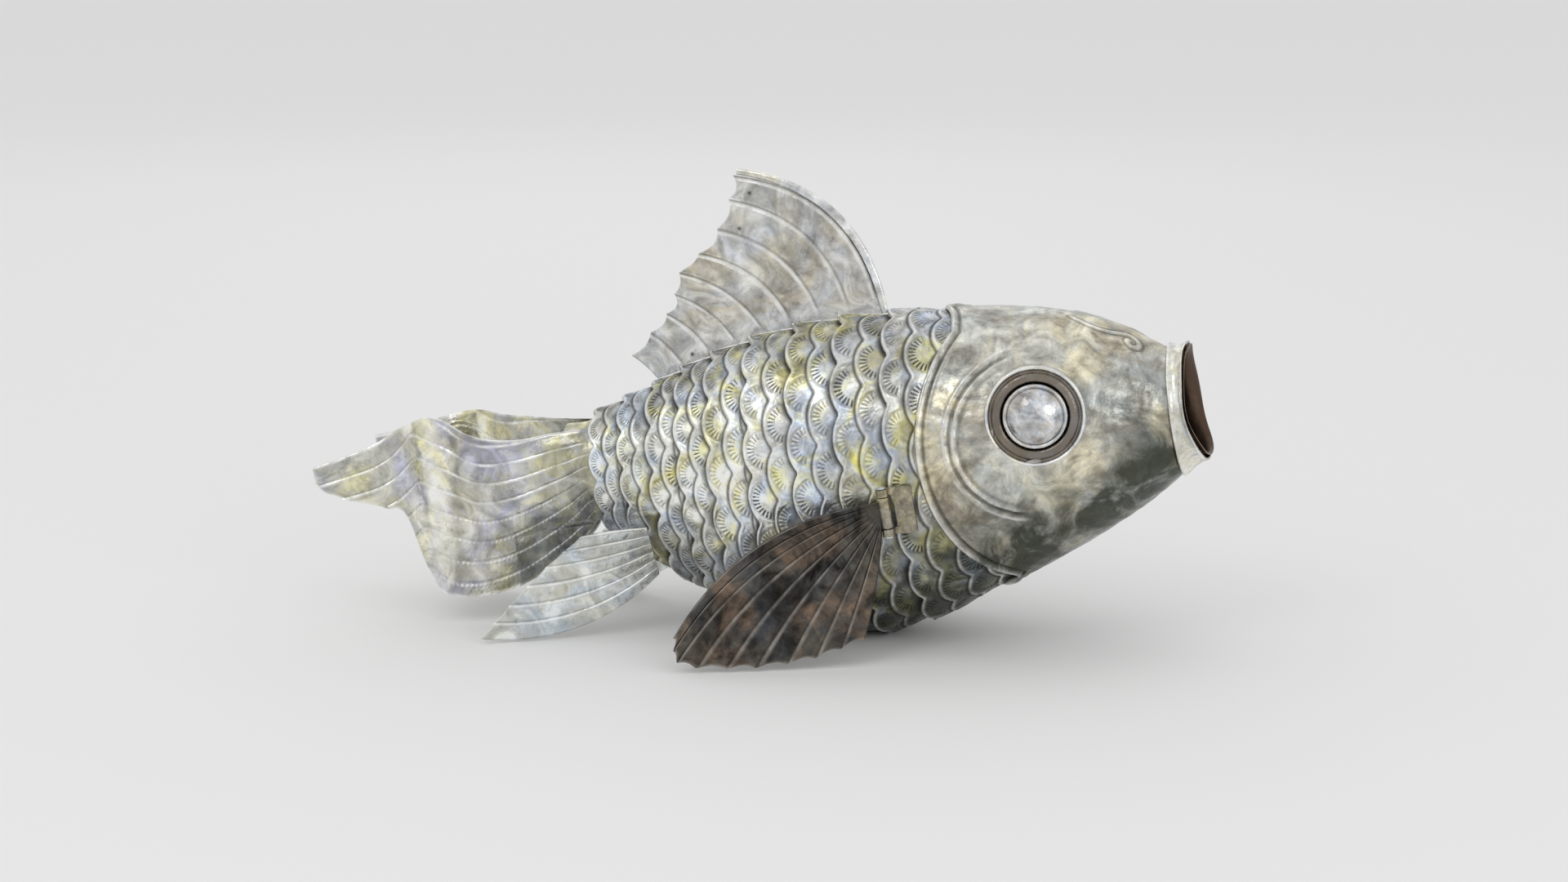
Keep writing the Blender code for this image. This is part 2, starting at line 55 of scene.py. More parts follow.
# The fish frame (s along the body, y to the left, h up across it), from the head joint
H_AXIS = np.array(JOINTS["head_yaw"]["axis"], dtype=float)
S_AXIS = np.array([H_AXIS[2], 0.0, -H_AXIS[0]])
Y_AXIS = np.array([0.0, 1.0, 0.0])
HEAD_PIVOT = (143.0, -15.0)
ORIGIN = (np.array(JOINTS["head_yaw"]["pos_m"], dtype=float)
          - S_AXIS * HEAD_PIVOT[0] * MM - H_AXIS * HEAD_PIVOT[1] * MM)
PIVOT_AHEAD = 3.0
RING_JOINTS = ("head_yaw", "shoulder_yaw", "ring_3_yaw", "ring_4_yaw", "ring_5_yaw", "ring_6_yaw",
               "ring_7_yaw", "ring_8_yaw", "tail_yaw")
EDGES = [float(np.dot(np.array(JOINTS[name]["pos_m"]) - ORIGIN, S_AXIS)) / MM - PIVOT_AHEAD
         for name in RING_JOINTS]

# Body outlines in the fish frame, millimetres
BACK = ((0, 23), (35, 34.5), (60, 43), (85, 49), (110, 52), (140, 52), (165, 50.5), (192, 47.5),
        (213, 43.5), (228, 38.5), (242, 31), (254, 23.5), (266, 21))
BELLY = ((0, -27), (20, -43), (41, -59), (70, -75), (100, -84.5), (120, -86), (140, -82),
         (165, -73.5), (200, -60), (222, -50), (240, -40.5), (254, -31), (266, -21.5))
WIDTH = ((0, 19), (20, 25), (40, 31), (60, 36), (80, 40), (110, 44.5), (140, 47), (165, 47.5),
         (190, 45), (210, 41), (230, 34), (245, 26.5), (256, 21.5), (266, 20.5))
WALL = 1.0
STEP = 1.9
COLLAR = 6.0

# Chased scales, millimetres or shares of a scale's width
GRID = 0.42
SCALE_COUNTS = (16, 16, 16, 14, 14, 12, 12, 10)
NAPE_SCALES = 16
FULL_SCALE = 23.0
INNER_ROW = 0.6
LOBE_ROUND = 0.85
LOBE_CUSP = 0.47
COMB_CENTRE = 0.46
STROKE_SPACING = 1.75
LAYER_STEP = 0.55
RELIEF = 0.9
RELIEF_MIDDLE = 0.2
LAP_SHADOW = 2.1
PUNCH_SWAY = 0.16
STROKES_START = (1.7, 2.2)
STROKES_END = (4.8, 5.6)
STROKES_MIDDLE = 3.4
STROKES_SPREAD = (1.2, 1.45)
STROKE_EDGES = (-0.05, 0.65)
LIGHTEST_STROKE = 0.4
RIM_AT, RIM_WIDTH = 0.85, 0.75
CHANNEL_AT, CHANNEL_WIDTH = 1.55, 0.45
CHANNEL_SPREAD = (1.1, 1.5)
RIM_RISE = 0.28
CHANNEL_DROP = 0.30
STROKE_DROP = 0.36
SWELL_RISE = 0.5
EDGE_DROP = 0.5
SHEET = 0.7

# Head
GILL_CENTRE = (200.0, -5.0)
GILL_REACH = 47.0
GILL_HEIGHT = 62.0
CROWN_REACH = 13.0
CROWN_ANGLE = 0.5
NAPE_LEVEL = 0.34
NAPE_SUNK = 0.6
NAPE_LAP = 8.0
NAPE_PLAY = 0.3
GILL_PASSES = 8
CHEEK_CENTRE = (201.0, -1.0)
CHEEK_RADIUS = 33.0
HEAD_FRONT = 259.0
LIP_REAR = 255.5
LIP_FRONT = 265.0
LIP_SLANT = 0.07
LIP_CORNERS = 3.0
LINER_REAR = 250.5
LINER_FRONT = 266.0
EYE_CENTRE = (204.0, 7.0)
EYE_AXIS = (0.18, 0.98, 0.05)
EYE_HOLE = 20.0
EYE_SIDES = 120
EYE_RIM = ((21, -7.0), (21, -2.5), (20.9, -0.8), (20.5, 0.6), (19.9, 0.9), (19.3, 0.5), (18.9, -0.4),
           (18.2, -0.7), (17.2, 0.1), (16.0, 0.5), (14.9, 0.4), (14.1, -0.3), (13.7, -2.2), (13.7, -7.0))
EYE_BALL = ((0.02, 6.0), (3.4, 5.7), (6.7, 4.7), (9.4, 3.1), (11.1, 1.7), (11.8, 1.1), (12.3, 1.25),
            (12.8, 1.3), (13.2, 0.9), (13.4, 0.0), (13.4, -2.0), (13.4, -7.0))
LIP_PROFILE = ((LIP_REAR, 1.3), (256.1, 1.9), (257.3, 1.9), (259, 1.6), (261, 1.7), (263, 2.4),
               (264.2, 3.2), (LIP_FRONT - 0.1, 3.5))
LINER_PROFILE = ((LINER_REAR, -2.3), (254, -2.1), (259, -1.8), (262.5, -0.8), (265, 0.9),
                 (LINER_FRONT, 2.2))
LIP_COLUMNS = 300
LIP_WAVES, LIP_WAVE = 5, 0.3
HEAD_COLUMNS, HEAD_STATIONS = 620, 190
HEAD_INNER = (0, 30, 60, 90, 120, 140, 160, 175, 189)
DENTS = 0.16
SCROLL_REAR, SCROLL_ARC = 218.0, 7.0
SCROLL_LENGTH, SCROLL_SWAY = 22.0, 4.5
CURL_CENTRE = (242.0, 11.0)
CURL_REACH = 4.2
CURL_TURN, CURL_END = 1.6, 2.2

# Fins
FIN_SHEET = 1.2
DORSAL_SHEET = 2.0
DORSAL_FRONT = 136.5
DORSAL_REAR = 35.0
DORSAL_EASE = 0.7
DORSAL_HOVER = 0.5
HINGE_AT = (138.0, 49.8, -24.5)
KNUCKLE = ((1.4, 6.6), (2.2, 6.6), (2.65, 6.1), (2.55, 3.0), (2.65, 0.0), (2.55, -3.0), (2.65, -6.1),
           (2.2, -6.6), (1.4, -6.6))
DORSAL_PUNCHES = ((88.0, 108.8), (81.3, 94.4), (52.0, 43.5))
PECTORAL_ROOT = ((136.1, -20.0), (136.1, -29.0))
PECTORAL_SWEEP, PECTORAL_CUP = 0.42, 0.002
PELVIC_ROOT = ((29.0, -24.0), (30.5, -45.0))
PELVIC_SIDE, PELVIC_FLARE, PELVIC_LEAN = 30.5, 0.5, 0.06

# Fin edges as (share from first to last ray, station) and (share, height)
DORSAL_EDGE = (((0, 82), (0.14, 78), (0.3, 68), (0.5, 52), (0.7, 46), (0.85, 37), (1, 25)),
               ((0, 117), (0.14, 106), (0.3, 91), (0.5, 79), (0.7, 65), (0.85, 56.5), (1, 46)))
PECTORAL_EDGE = (((0, 51.5), (0.25, 53), (0.5, 76), (0.75, 102), (1, 124)),
                 ((0, -60), (0.25, -71), (0.5, -77), (0.75, -78.5), (1, -74.5)))
PELVIC_EDGE = (((0, 3.5), (0.35, -12), (0.7, -29), (1, -41)),
               ((0, -22.5), (0.35, -33), (0.7, -47), (1, -58)))
DORSAL_RAYS, PECTORAL_RAYS, PELVIC_RAYS, TAIL_RAYS = 8, 9, 6, 8
DORSAL_BULGE, PECTORAL_BULGE, PELVIC_BULGE = (0.37, 0.08), (0.27, -0.05), (0.05, -0.27)
EDGE_BEAD = 0.985
GROOVE_DARK = 0.4
RAY_START = (0.02, 0.12)
BEADED_FROM = (0.42, 0.55)

# Tail sheets as (station, height) and (station, distance from the middle plane)
TAIL_TOP = ((-115, 18.5), (-104, 20.5), (-89, 24), (-73, 31), (-57, 33), (-46, 23.5), (-30, 18),
            (-12, 18), (9, 18))
FAR_TAIL_TOP = ((-115, 18.5), (-104, 20), (-89, 22.5), (-73, 25.5), (-60, 25.5), (-46, 23), (-30, 21.5),
                (-12, 20.5), (9, 18))
TAIL_BOTTOM = ((-115, 13), (-112, 9), (-104, 3), (-88, -4), (-79, -12), (-75.5, -27), (-70, -39),
               (-60, -45), (-47, -47), (-29, -43.5), (-8, -31), (2, -22), (9, -22))
TAIL_ENVELOPE = ((-115, -46), (-80, -50), (-47, -47), (-29, -43.5), (-8, -31), (2, -22), (9, -22))
TAIL_SPREAD = ((-115, 38), (-95, 30), (-78, 24), (-62, 32), (-50, 27), (-30, 20), (-14, 17.2), (4, 17.6),
               (9, 17.6))
TAIL_LENGTH = 122.0
BEAD_SPACING = 1.8
RAY_RISE = 6.0
RAY_DIP = 3.0
TAIL_FRONT = 9.0
TAIL_REAR = 114.0

# Darkening of the body, painted shade on the underside and lower snout, and a painted sheen along its flank,
# by level (0 belly, 1 back) and by station
DARK_LEVELS = (-0.05, 0.50)
DARK_STATIONS = (60, 125)
DARK_REAR, DARK_MORE = 0.45, 0.95
SNOUT_STATIONS = (212, 246)
SNOUT_LEVELS = (0.55, 0.95)
SNOUT_DARK = 0.45
BACK_LEVELS = (0.84, 1.0)
BACK_DARK = 0.12
FLANK_LEVEL, FLANK_SPREAD = 0.60, 0.26
FLANK_STATIONS = (70, 150)

# Silver: bright crest colours (wear and painted highlight), painted sheen and painted shade colours, and the
# sizes of its noises
BRIGHT = (0.95, 0.95, 0.93)
BRIGHTEST = (0.98, 0.98, 0.96)
PAINTED_SHEEN_COLOUR = (1.95, 1.95, 1.90)
PAINTED_SHADE_COLOUR = (0.05, 0.056, 0.04)
TONE_NOISE, GRIME_NOISE, WANDER_NOISE, WEAR_AND_HIGHLIGHT_NOISE = 62.0, 230.0, 42.0, 110.0
GLOSS_NOISE, DENT_NOISE, GRAIN_NOISE = 120.0, 95.0, 900.0

# Camera and studio
CAMERA_AZIMUTH = 14.0
CAMERA_ELEVATION = 11.4
CAMERA_DISTANCE = 1.5
CAMERA_TARGET = (0.0086, 0.0, 0.0807)
LENS = 80.55
BACKDROP = (0.90, 0.90, 0.90, 1.0)
FLOOR_SIZE = 16.0
AMBIENT = (0.92, 0.92, 0.92, 1)
AMBIENT_STRENGTH = 0.83
LIGHTS = (("key", (-0.45, -1.3, 1.3), 0.7, 2.4),
          ("side", (1.3, -0.9, 0.6), 0.5, 1.2),
          ("top", (0.1, 0.2, 1.9), 1.2, 1.5),
          ("back", (-0.5, 1.5, 1.0), 0.9, 1.0))


# ---- geometry helpers

def curve(points, x):
    """Smooth curve through (x, value) points, held at its end values."""
    xs = np.array([p[0] for p in points], dtype=float)
    ys = np.array([p[1] for p in points], dtype=float)
    slopes = np.gradient(ys, xs)
    x = np.clip(np.asarray(x, dtype=float), xs[0], xs[-1])
    i = np.clip(np.searchsorted(xs, x) - 1, 0, len(xs) - 2)
    width = xs[i + 1] - xs[i]
    t = (x - xs[i]) / width
    start = (2 * t**3 - 3 * t**2 + 1) * ys[i] + (t**3 - 2 * t**2 + t) * width * slopes[i]
    end = (3 * t**2 - 2 * t**3) * ys[i + 1] + (t**3 - t**2) * width * slopes[i + 1]
    return start + end


def smooth(low, high, x):
    """Soft step from 0 at low to 1 at high."""
    t = np.clip((x - low) / (high - low), 0, 1)
    return t * t * (3 - 2 * t)


def bump(x, centre, width):
    """Bell curve, 1 at its centre."""
    return np.exp(-((x - centre) / width) ** 2)


def place(s, y, h):
    """World points of fish-frame points in millimetres."""
    s, y, h = np.broadcast_arrays(s, y, h)
    return ORIGIN + MM * (s[..., None] * S_AXIS + y[..., None] * Y_AXIS + h[..., None] * H_AXIS)


def sizes(s):
    """Back line, belly line and half width of the body at a station."""
    return curve(BACK, s), curve(BELLY, s), curve(WIDTH, s)


def oval(s, section, angle, offset):
    """World points on an oval section grown by offset."""
    top, bottom, half = section
    tall = (top - bottom) / 2 + offset
    return place(s, (half + offset) * np.sin(angle), (top + bottom) / 2 + tall * np.cos(angle))


def keep_above(points, lowest):
    """Points with none lower than a level in millimetres."""
    points = points.copy()
    points[..., 2] = np.maximum(points[..., 2], lowest * MM)
    return points


def quads(rows, columns, first, wrap, flip=False):
    """Quad faces of a grid of rows x columns vertices."""
    r = np.arange(rows if wrap else rows - 1)
    c = np.arange(columns - 1)
    rr, cc = np.meshgrid(r, c, indexing="ij")
    after = (rr + 1) % rows
    face = np.stack([rr * columns + cc, after * columns + cc, after * columns + cc + 1,
                     rr * columns + cc + 1], axis=-1).reshape(-1, 4) + first
    return face[:, ::-1] if flip else face


def edge_strip(rows, outer_ids, inner_ids, wrap, flip=False):
    """Quads joining a line of outer vertices to a line of inner vertices."""
    i = np.arange(rows if wrap else rows - 1)
    j = (i + 1) % rows
    face = np.stack([outer_ids[i], inner_ids[i], inner_ids[j], outer_ids[j]], axis=-1)
    return face[:, ::-1] if flip else face


def painted_shade_and_sheen(verts):
    """Shares, 0 to 1, of darkening on the body (painted shade on its underside and lower snout, a little
    darker along the top of the back) and of a painted sheen along its flank.
    """
    away = (verts - ORIGIN) / MM
    s = away @ S_AXIS
    top, bottom, _half = sizes(s)
    level = (away @ H_AXIS - bottom) / (top - bottom)
    low = (1 - smooth(*DARK_LEVELS, level)) * (DARK_REAR + DARK_MORE * smooth(*DARK_STATIONS, s))
    snout = SNOUT_DARK * smooth(*SNOUT_STATIONS, s) * (1 - smooth(*SNOUT_LEVELS, level))
    back = BACK_DARK * smooth(*BACK_LEVELS, level)
    painted_sheen = bump(level, FLANK_LEVEL, FLANK_SPREAD) * (1 - smooth(*FLANK_STATIONS, s))
    return np.clip(low + snout + back, 0, 1), painted_sheen


def close_mesh(mesh, bridged):
    """Drop unused points, close the open ends and turn every face outward."""
    work = bmesh.new()
    work.from_mesh(mesh)
    bmesh.ops.delete(work, geom=[vert for vert in work.verts if not vert.link_faces], context="VERTS")
    for side in (-1, 1):
        rims = [edge for edge in work.edges if edge.is_boundary and edge.verts[0].co.y * side > 0]
        if bridged and rims:
            bmesh.ops.bridge_loops(work, edges=rims)
    ends = [edge for edge in work.edges if edge.is_boundary]
    bmesh.ops.holes_fill(work, edges=ends, sides=0)
    bmesh.ops.recalc_face_normals(work, faces=work.faces)
    work.to_mesh(mesh)
    work.free()


def make_mesh(name, verts, faces, attributes, mat, bridged=False):
    """Closed, smoothly shaded object from quads, with its point attributes."""
    mesh = bpy.data.meshes.new(name)
    mesh.vertices.add(len(verts))
    mesh.vertices.foreach_set("co", np.asarray(verts, dtype=np.float32).ravel())
    mesh.loops.add(faces.size)
    mesh.loops.foreach_set("vertex_index", faces.astype(np.int32).ravel())
    mesh.polygons.add(len(faces))
    mesh.polygons.foreach_set("loop_start", np.arange(0, faces.size, 4, dtype=np.int32))
    mesh.update(calc_edges=True)
    mesh.validate()
    for key, values in attributes.items():
        layer = mesh.attributes.new(key, "FLOAT", "POINT")
        layer.data.foreach_set("value", np.asarray(values, dtype=np.float32).ravel())
    close_mesh(mesh, bridged)
    mesh.shade_smooth()
    mesh.set_sharp_from_angle(angle=math.radians(50))
    obj = bpy.data.objects.new(name, mesh)
    bpy.context.scene.collection.objects.link(obj)
    mesh.materials.append(mat)
    return obj


def solid_sheet(name, outer, inner, wrap, recess, crest, mat, keep=None):
    """Closed sheet: a fine outer grid and an inner grid, joined round their free edges."""
    rows, columns = outer.shape[:2]
    inner_columns = inner.shape[1]
    base = rows * columns
    verts = np.concatenate([outer.reshape(-1, 3), inner.reshape(-1, 3)])
    outer_faces = quads(rows, columns, 0, wrap)
    inner_faces = quads(rows, inner_columns, base, wrap, True)
    if keep is not None:
        outer_faces = outer_faces[keep(outer.reshape(-1, 3)[outer_faces].mean(axis=1))]
        inner_faces = inner_faces[keep(verts[inner_faces].mean(axis=1))]
    row = np.arange(rows)
    parts = [outer_faces, inner_faces,
             edge_strip(rows, row * columns, base + row * inner_columns, wrap, True),
             edge_strip(rows, row * columns + columns - 1,
                        base + row * inner_columns + inner_columns - 1, wrap)]
    if not wrap:
        column = np.arange(columns)
        parts.append(edge_strip(columns, column, base + column, False))
        parts.append(edge_strip(columns, (rows - 1) * columns + column,
                                base + (rows - 1) * inner_columns + column, False, True))
    inner_count = rows * inner_columns
    # Painted shade on the underside and a painted sheen along the flank of the body
    painted_shade, painted_sheen = painted_shade_and_sheen(verts)
    attributes = {"recess": np.concatenate([recess.ravel(), np.zeros(inner_count)]),
                  "crest": np.concatenate([crest.ravel(), np.zeros(inner_count)]),
                  "inside": np.concatenate([np.zeros(base), np.ones(inner_count)]),
                  "painted_shade": painted_shade, "painted_sheen": painted_sheen}
    faces = np.concatenate(parts)
    return make_mesh(name, verts, faces, attributes, mat, keep is not None)


# ---- materials

def node(tree, kind, inputs=None, **settings):
    made = tree.nodes.new(kind)
    for key, value in settings.items():
        setattr(made, key, value)
    for key, value in (inputs or {}).items():
        made.inputs[key].default_value = value
    return made


def ramp(tree, source, stops):
    made = node(tree, "ShaderNodeValToRGB")
    tree.links.new(source, made.inputs["Fac"])
    elements = made.color_ramp.elements
    while len(elements) < len(stops):
        elements.new(0.5)
    for element, (position, value) in zip(elements, stops):
        element.position = position
        element.color = (value, value, value, 1) if isinstance(value, float) else (*value, 1)
    return made.outputs["Color"]


def feed(tree, socket, value):
    """Set a socket to a number or a colour, or link it to another socket."""
    if isinstance(value, (int, float)):
        socket.default_value = value
    elif isinstance(value, tuple):
        socket.default_value = (*value, 1)
    else:
        tree.links.new(value, socket)


def mix(tree, factor, a, b, blend="MIX"):
    made = node(tree, "ShaderNodeMix", data_type="RGBA", blend_type=blend)
    for key, value in (("Factor", factor), ("A", a), ("B", b)):
        feed(tree, made.inputs[key], value)
    return made.outputs["Result"]


def math_node(tree, operation, a, b):
    made = node(tree, "ShaderNodeMath", operation=operation)
    for key, value in enumerate((a, b)):
        feed(tree, made.inputs[key], value)
    return made.outputs[0]


def painted(tree, name):
    """A point attribute of the mesh, as a factor."""
    return node(tree, "ShaderNodeAttribute", attribute_name=name).outputs["Fac"]


def noise(tree, coordinates, scale, detail=4.0, roughness=0.55, distortion=0.0):
    made = node(tree, "ShaderNodeTexNoise", {"Scale": scale, "Detail": detail, "Roughness": roughness,
                                             "Distortion": distortion})
    tree.links.new(coordinates, made.inputs["Vector"])
    return made.outputs["Fac"]


def patch(tree, spot, shift, scale, low, high):
    """Soft-edged patches, 0 to 1, from noise moved by shift."""
    moved = node(tree, "ShaderNodeMapping", {"Location": shift})
    tree.links.new(spot, moved.inputs["Vector"])
    cloud = noise(tree, moved.outputs["Vector"], scale, 6.0, 0.62, 1.6)
    return ramp(tree, cloud, [(low - 0.03, 0.0), (high + 0.05, 1.0)])


def silver(name, base, warm, cool, seed, roughness=0.3, metallic=0.9, shade=(0.035, 0.032, 0.026),
           brown=(0.33, 0.28, 0.22), inside=(0.10, 0.065, 0.045), brown_share=0.55, scale=30.0, dulling=0.3,
           under=0.0, shine=0.6, cloud=0.5, pale=(0.86, 0.86, 0.83)):
    """Chased silver: tarnish (warm and cool patches also painted reflection), dark recesses of patina and
    painted shade, crests painted bright as wear and painted highlight, and where under is set, painted shade
    below and a painted sheen on the flank.
    """
    mat = bpy.data.materials.new(name)
    mat.use_nodes = True
    tree = mat.node_tree
    shader = tree.nodes["Principled BSDF"]
    coordinate = node(tree, "ShaderNodeTexCoord")
    mapping = node(tree, "ShaderNodeMapping", {"Location": (seed, seed * 0.7, -seed)})
    tree.links.new(coordinate.outputs["Object"], mapping.inputs["Vector"])
    spot = mapping.outputs["Vector"]
    # Warm and cool patches: tarnish colours that also stand in for painted reflections of the surroundings
    colour = mix(tree, patch(tree, spot, (3.1, 1.7, 5.3), scale * 0.9, 0.46, 0.60), base, cool)
    colour = mix(tree, patch(tree, spot, (7.4, 2.9, 0.6), scale, 0.52, 0.63), colour, warm)
    brown_patch = patch(tree, spot, (1.2, 8.8, 4.1), scale * 1.3, 0.50, 0.66)
    colour = mix(tree, math_node(tree, "MULTIPLY", brown_patch, brown_share), colour, brown)
    tone = ramp(tree, noise(tree, spot, TONE_NOISE, 6.0, 0.62, 1.8),
                [(0.32, cloud), (0.50, 0.95), (0.66, 1.4)])
    colour = mix(tree, 1.0, colour, tone, "MULTIPLY")
    grime = ramp(tree, noise(tree, spot, GRIME_NOISE, 4.0, 0.7), [(0.52, 0.0), (0.74, 1.0)])
    colour = mix(tree, math_node(tree, "MULTIPLY", grime, 0.4), colour, shade)
    # Painted sheen along the flank and painted shade on the underside; under sets how dark the painted shade
    # gets
    if under:
        painted_sheen = painted(tree, "painted_sheen")
        colour = mix(tree, math_node(tree, "MULTIPLY", painted_sheen, 0.8), colour, PAINTED_SHEEN_COLOUR, "MULTIPLY")
        painted_shade = painted(tree, "painted_shade")
        wander = ramp(tree, noise(tree, spot, WANDER_NOISE, 6.0, 0.65, 1.6), [(0.34, 0.50), (0.66, 1.35)])
        painted_shade = ramp(tree, math_node(tree, "MULTIPLY", painted_shade, wander), [(0.06, 0.0), (0.92, under)])
        colour = mix(tree, painted_shade, colour, PAINTED_SHADE_COLOUR)
    recess = painted(tree, "recess")
    crest = painted(tree, "crest")
    hidden = painted(tree, "inside")
    # Recesses darkened in the shade colour: patina in chased grooves, painted shade under and behind
    # overlapping edges, and the tail's dark painted reflection bands
    colour = mix(tree, math_node(tree, "MULTIPLY", recess, 0.93), colour, shade)
    # Crests painted bright in patches: wear on the raised edges and painted highlight
    wear_and_highlight = ramp(tree, noise(tree, spot, WEAR_AND_HIGHLIGHT_NOISE, 4.0), [(0.36, 0.12), (0.62, shine)])
    colour = mix(tree, math_node(tree, "MULTIPLY", crest, wear_and_highlight), colour, pale)
    colour = mix(tree, hidden, colour, inside)
    tree.links.new(colour, shader.inputs["Base Color"])
    rough = ramp(tree, noise(tree, spot, GLOSS_NOISE, 4.0, 0.6),
                 [(0.3, roughness - 0.1), (0.7, roughness + 0.16)])
    rough = math_node(tree, "ADD", rough, math_node(tree, "MULTIPLY", recess, dulling))
    tree.links.new(rough, shader.inputs["Roughness"])
    shader.inputs["Metallic"].default_value = metallic
    dents = noise(tree, spot, DENT_NOISE, 3.0, 0.5)
    grain = noise(tree, spot, GRAIN_NOISE, 3.0, 0.6)
    height = math_node(tree, "ADD", dents, math_node(tree, "MULTIPLY", grain, 0.10))
    relief = node(tree, "ShaderNodeBump", {"Strength": 0.7, "Distance": 0.0012})
    tree.links.new(height, relief.inputs["Height"])
    tree.links.new(relief.outputs["Normal"], shader.inputs["Normal"])
    return mat


def make_materials():
    """The object's materials by short name."""
    return {
        "scales": silver(
            "scale_silver", (0.59, 0.60, 0.57), (0.70, 0.65, 0.20), (0.44, 0.51, 0.64), 1.3,
            brown=(0.33, 0.28, 0.21), brown_share=0.5, under=0.90, roughness=0.27, cloud=0.48, shine=0.8,
            pale=BRIGHT),
        "head": silver(
            "head_silver", (0.66, 0.66, 0.60), (0.96, 0.87, 0.60), (0.52, 0.55, 0.54), 4.1,
            roughness=0.25, brown=(0.27, 0.22, 0.16), brown_share=0.8, scale=22.0, under=0.93,
            shine=0.85, pale=BRIGHT),
        "dorsal": silver(
            "dorsal_silver", (0.65, 0.65, 0.62), (0.58, 0.54, 0.44), (0.62, 0.65, 0.70), 7.7,
            roughness=0.31, brown=(0.38, 0.33, 0.28), cloud=0.55, shine=0.9, pale=BRIGHT),
        "tail": silver(
            "tail_silver", (0.60, 0.60, 0.54), (0.76, 0.72, 0.42), (0.50, 0.51, 0.66), 2.2,
            roughness=0.24, brown=(0.38, 0.34, 0.27), brown_share=0.5, under=0.9, cloud=0.6, shine=1.0,
            pale=BRIGHTEST),
        "fin": silver(
            "fin_silver", (0.80, 0.81, 0.75), (0.80, 0.77, 0.60), (0.62, 0.70, 0.78), 9.4,
            roughness=0.28, brown=(0.52, 0.46, 0.38), brown_share=0.3, cloud=0.7, shine=1.0, pale=BRIGHTEST),
        "dark_fin": silver(
            "pectoral_silver", (0.11, 0.10, 0.085), (0.20, 0.14, 0.10), (0.06, 0.065, 0.07), 5.9,
            roughness=0.36, brown=(0.012, 0.010, 0.009), brown_share=1.0, shine=0.45, cloud=0.30,
            pale=(0.50, 0.47, 0.43)),
        "hinge": silver(
            "hinge_silver", (0.36, 0.33, 0.25), (0.52, 0.46, 0.26), (0.26, 0.25, 0.22), 12.7,
            brown=(0.13, 0.10, 0.08), brown_share=0.8, scale=90.0),
        "rim": silver(
            "rim_silver", (0.86, 0.86, 0.83), (0.80, 0.77, 0.60), (0.66, 0.70, 0.78), 6.6,
            roughness=0.20, shade=(0.15, 0.12, 0.095), brown_share=0.3, dulling=0.0, cloud=0.7, shine=0.95,
            pale=(0.97, 0.97, 0.95)),
        "eye": silver(
            "eye_silver", (0.84, 0.85, 0.86), (0.62, 0.55, 0.46), (0.50, 0.58, 0.70), 8.2,
            roughness=0.14, metallic=0.95, shade=(0.05, 0.032, 0.022), scale=60.0, dulling=0.0, cloud=0.45),
        "copper": silver(
            "mouth_copper", (0.36, 0.20, 0.13), (0.50, 0.30, 0.20), (0.16, 0.11, 0.07), 3.3,
            roughness=0.42, shade=(0.06, 0.04, 0.03))}


# ---- body rings and nape collar

def from_top(angle):
    """Unsigned angle from the top of the body, 0 to pi."""
    return np.abs((angle + np.pi) % (2 * np.pi) - np.pi)


def even_angles(section, count):
    """Angles round an oval at equal spacing, from the top, their share of the way, and its length."""
    top, bottom, half = section
    fine = np.linspace(0, 2 * np.pi, 2881)
    y = half * np.sin(fine)
    h = (top - bottom) / 2 * np.cos(fine)
    length = np.concatenate([[0], np.cumsum(np.hypot(np.diff(y), np.diff(h)))])
    share = np.arange(count) / count
    return np.interp(share * length[-1], length, fine), share, length[-1]


def off_centre(phase, width):
    """Distance from the middle of the nearest scale, at a place counted in scales."""
    return (phase - np.round(phase)) * width


def lobe_edge(across, width):
    """How far the rounded rear edge of a scale stands forward of its tip, at a place across it."""
    radius = LOBE_ROUND * width
    return radius - np.sqrt(radius**2 - np.minimum(np.abs(across), LOBE_CUSP * width)**2)


def scatter(*keys):
    """Repeatable number from 0 to 1 for each set of keys."""
    mixed = sum(key * factor for key, factor in zip(keys, (12.9898, 78.233, 37.719)))
    return np.abs(np.sin(mixed) * 43758.5453) % 1.0


def one_scale(reach, ahead, across, width, chance):
    """Height, recess and crest over one chased scale; ahead is the distance forward of its tip."""
    size = width / FULL_SCALE
    centre = COMB_CENTRE * width * (1 - PUNCH_SWAY / 2 + PUNCH_SWAY * chance)
    inward = centre - np.hypot(across, centre - ahead)
    turn = np.arctan2(across, centre - ahead) + 0.5 * (chance - 0.5)
    start, full = STROKES_START
    last, gone = STROKES_END
    window = smooth(start * size, full * size, inward) * (1 - smooth(last * size, gone * size, inward))
    window = window * (1 - smooth(*STROKES_SPREAD, np.abs(turn))) * (ahead < centre)
    strokes_round = 2 * np.pi * (centre - STROKES_MIDDLE * size) / (STROKE_SPACING * size)
    strokes = window * smooth(*STROKE_EDGES, np.cos(turn * np.round(strokes_round)))
    strokes = strokes * (LIGHTEST_STROKE + (1 - LIGHTEST_STROKE) * chance)
    rim = bump(reach, RIM_AT * size, RIM_WIDTH * size)
    channel = bump(inward, CHANNEL_AT * size, CHANNEL_WIDTH * size)
    channel = channel * (1 - smooth(*CHANNEL_SPREAD, np.abs(turn)))
    swell = np.clip(1 - (across / (0.55 * width))**2 - ((ahead - centre) / (1.3 * centre))**2, 0, 1)
    height = (RIM_RISE * rim - CHANNEL_DROP * channel - STROKE_DROP * strokes + SWELL_RISE * swell
              - EDGE_DROP * (1 - smooth(0, SHEET, reach)))
    return height, np.maximum(0.4 * channel, strokes), rim


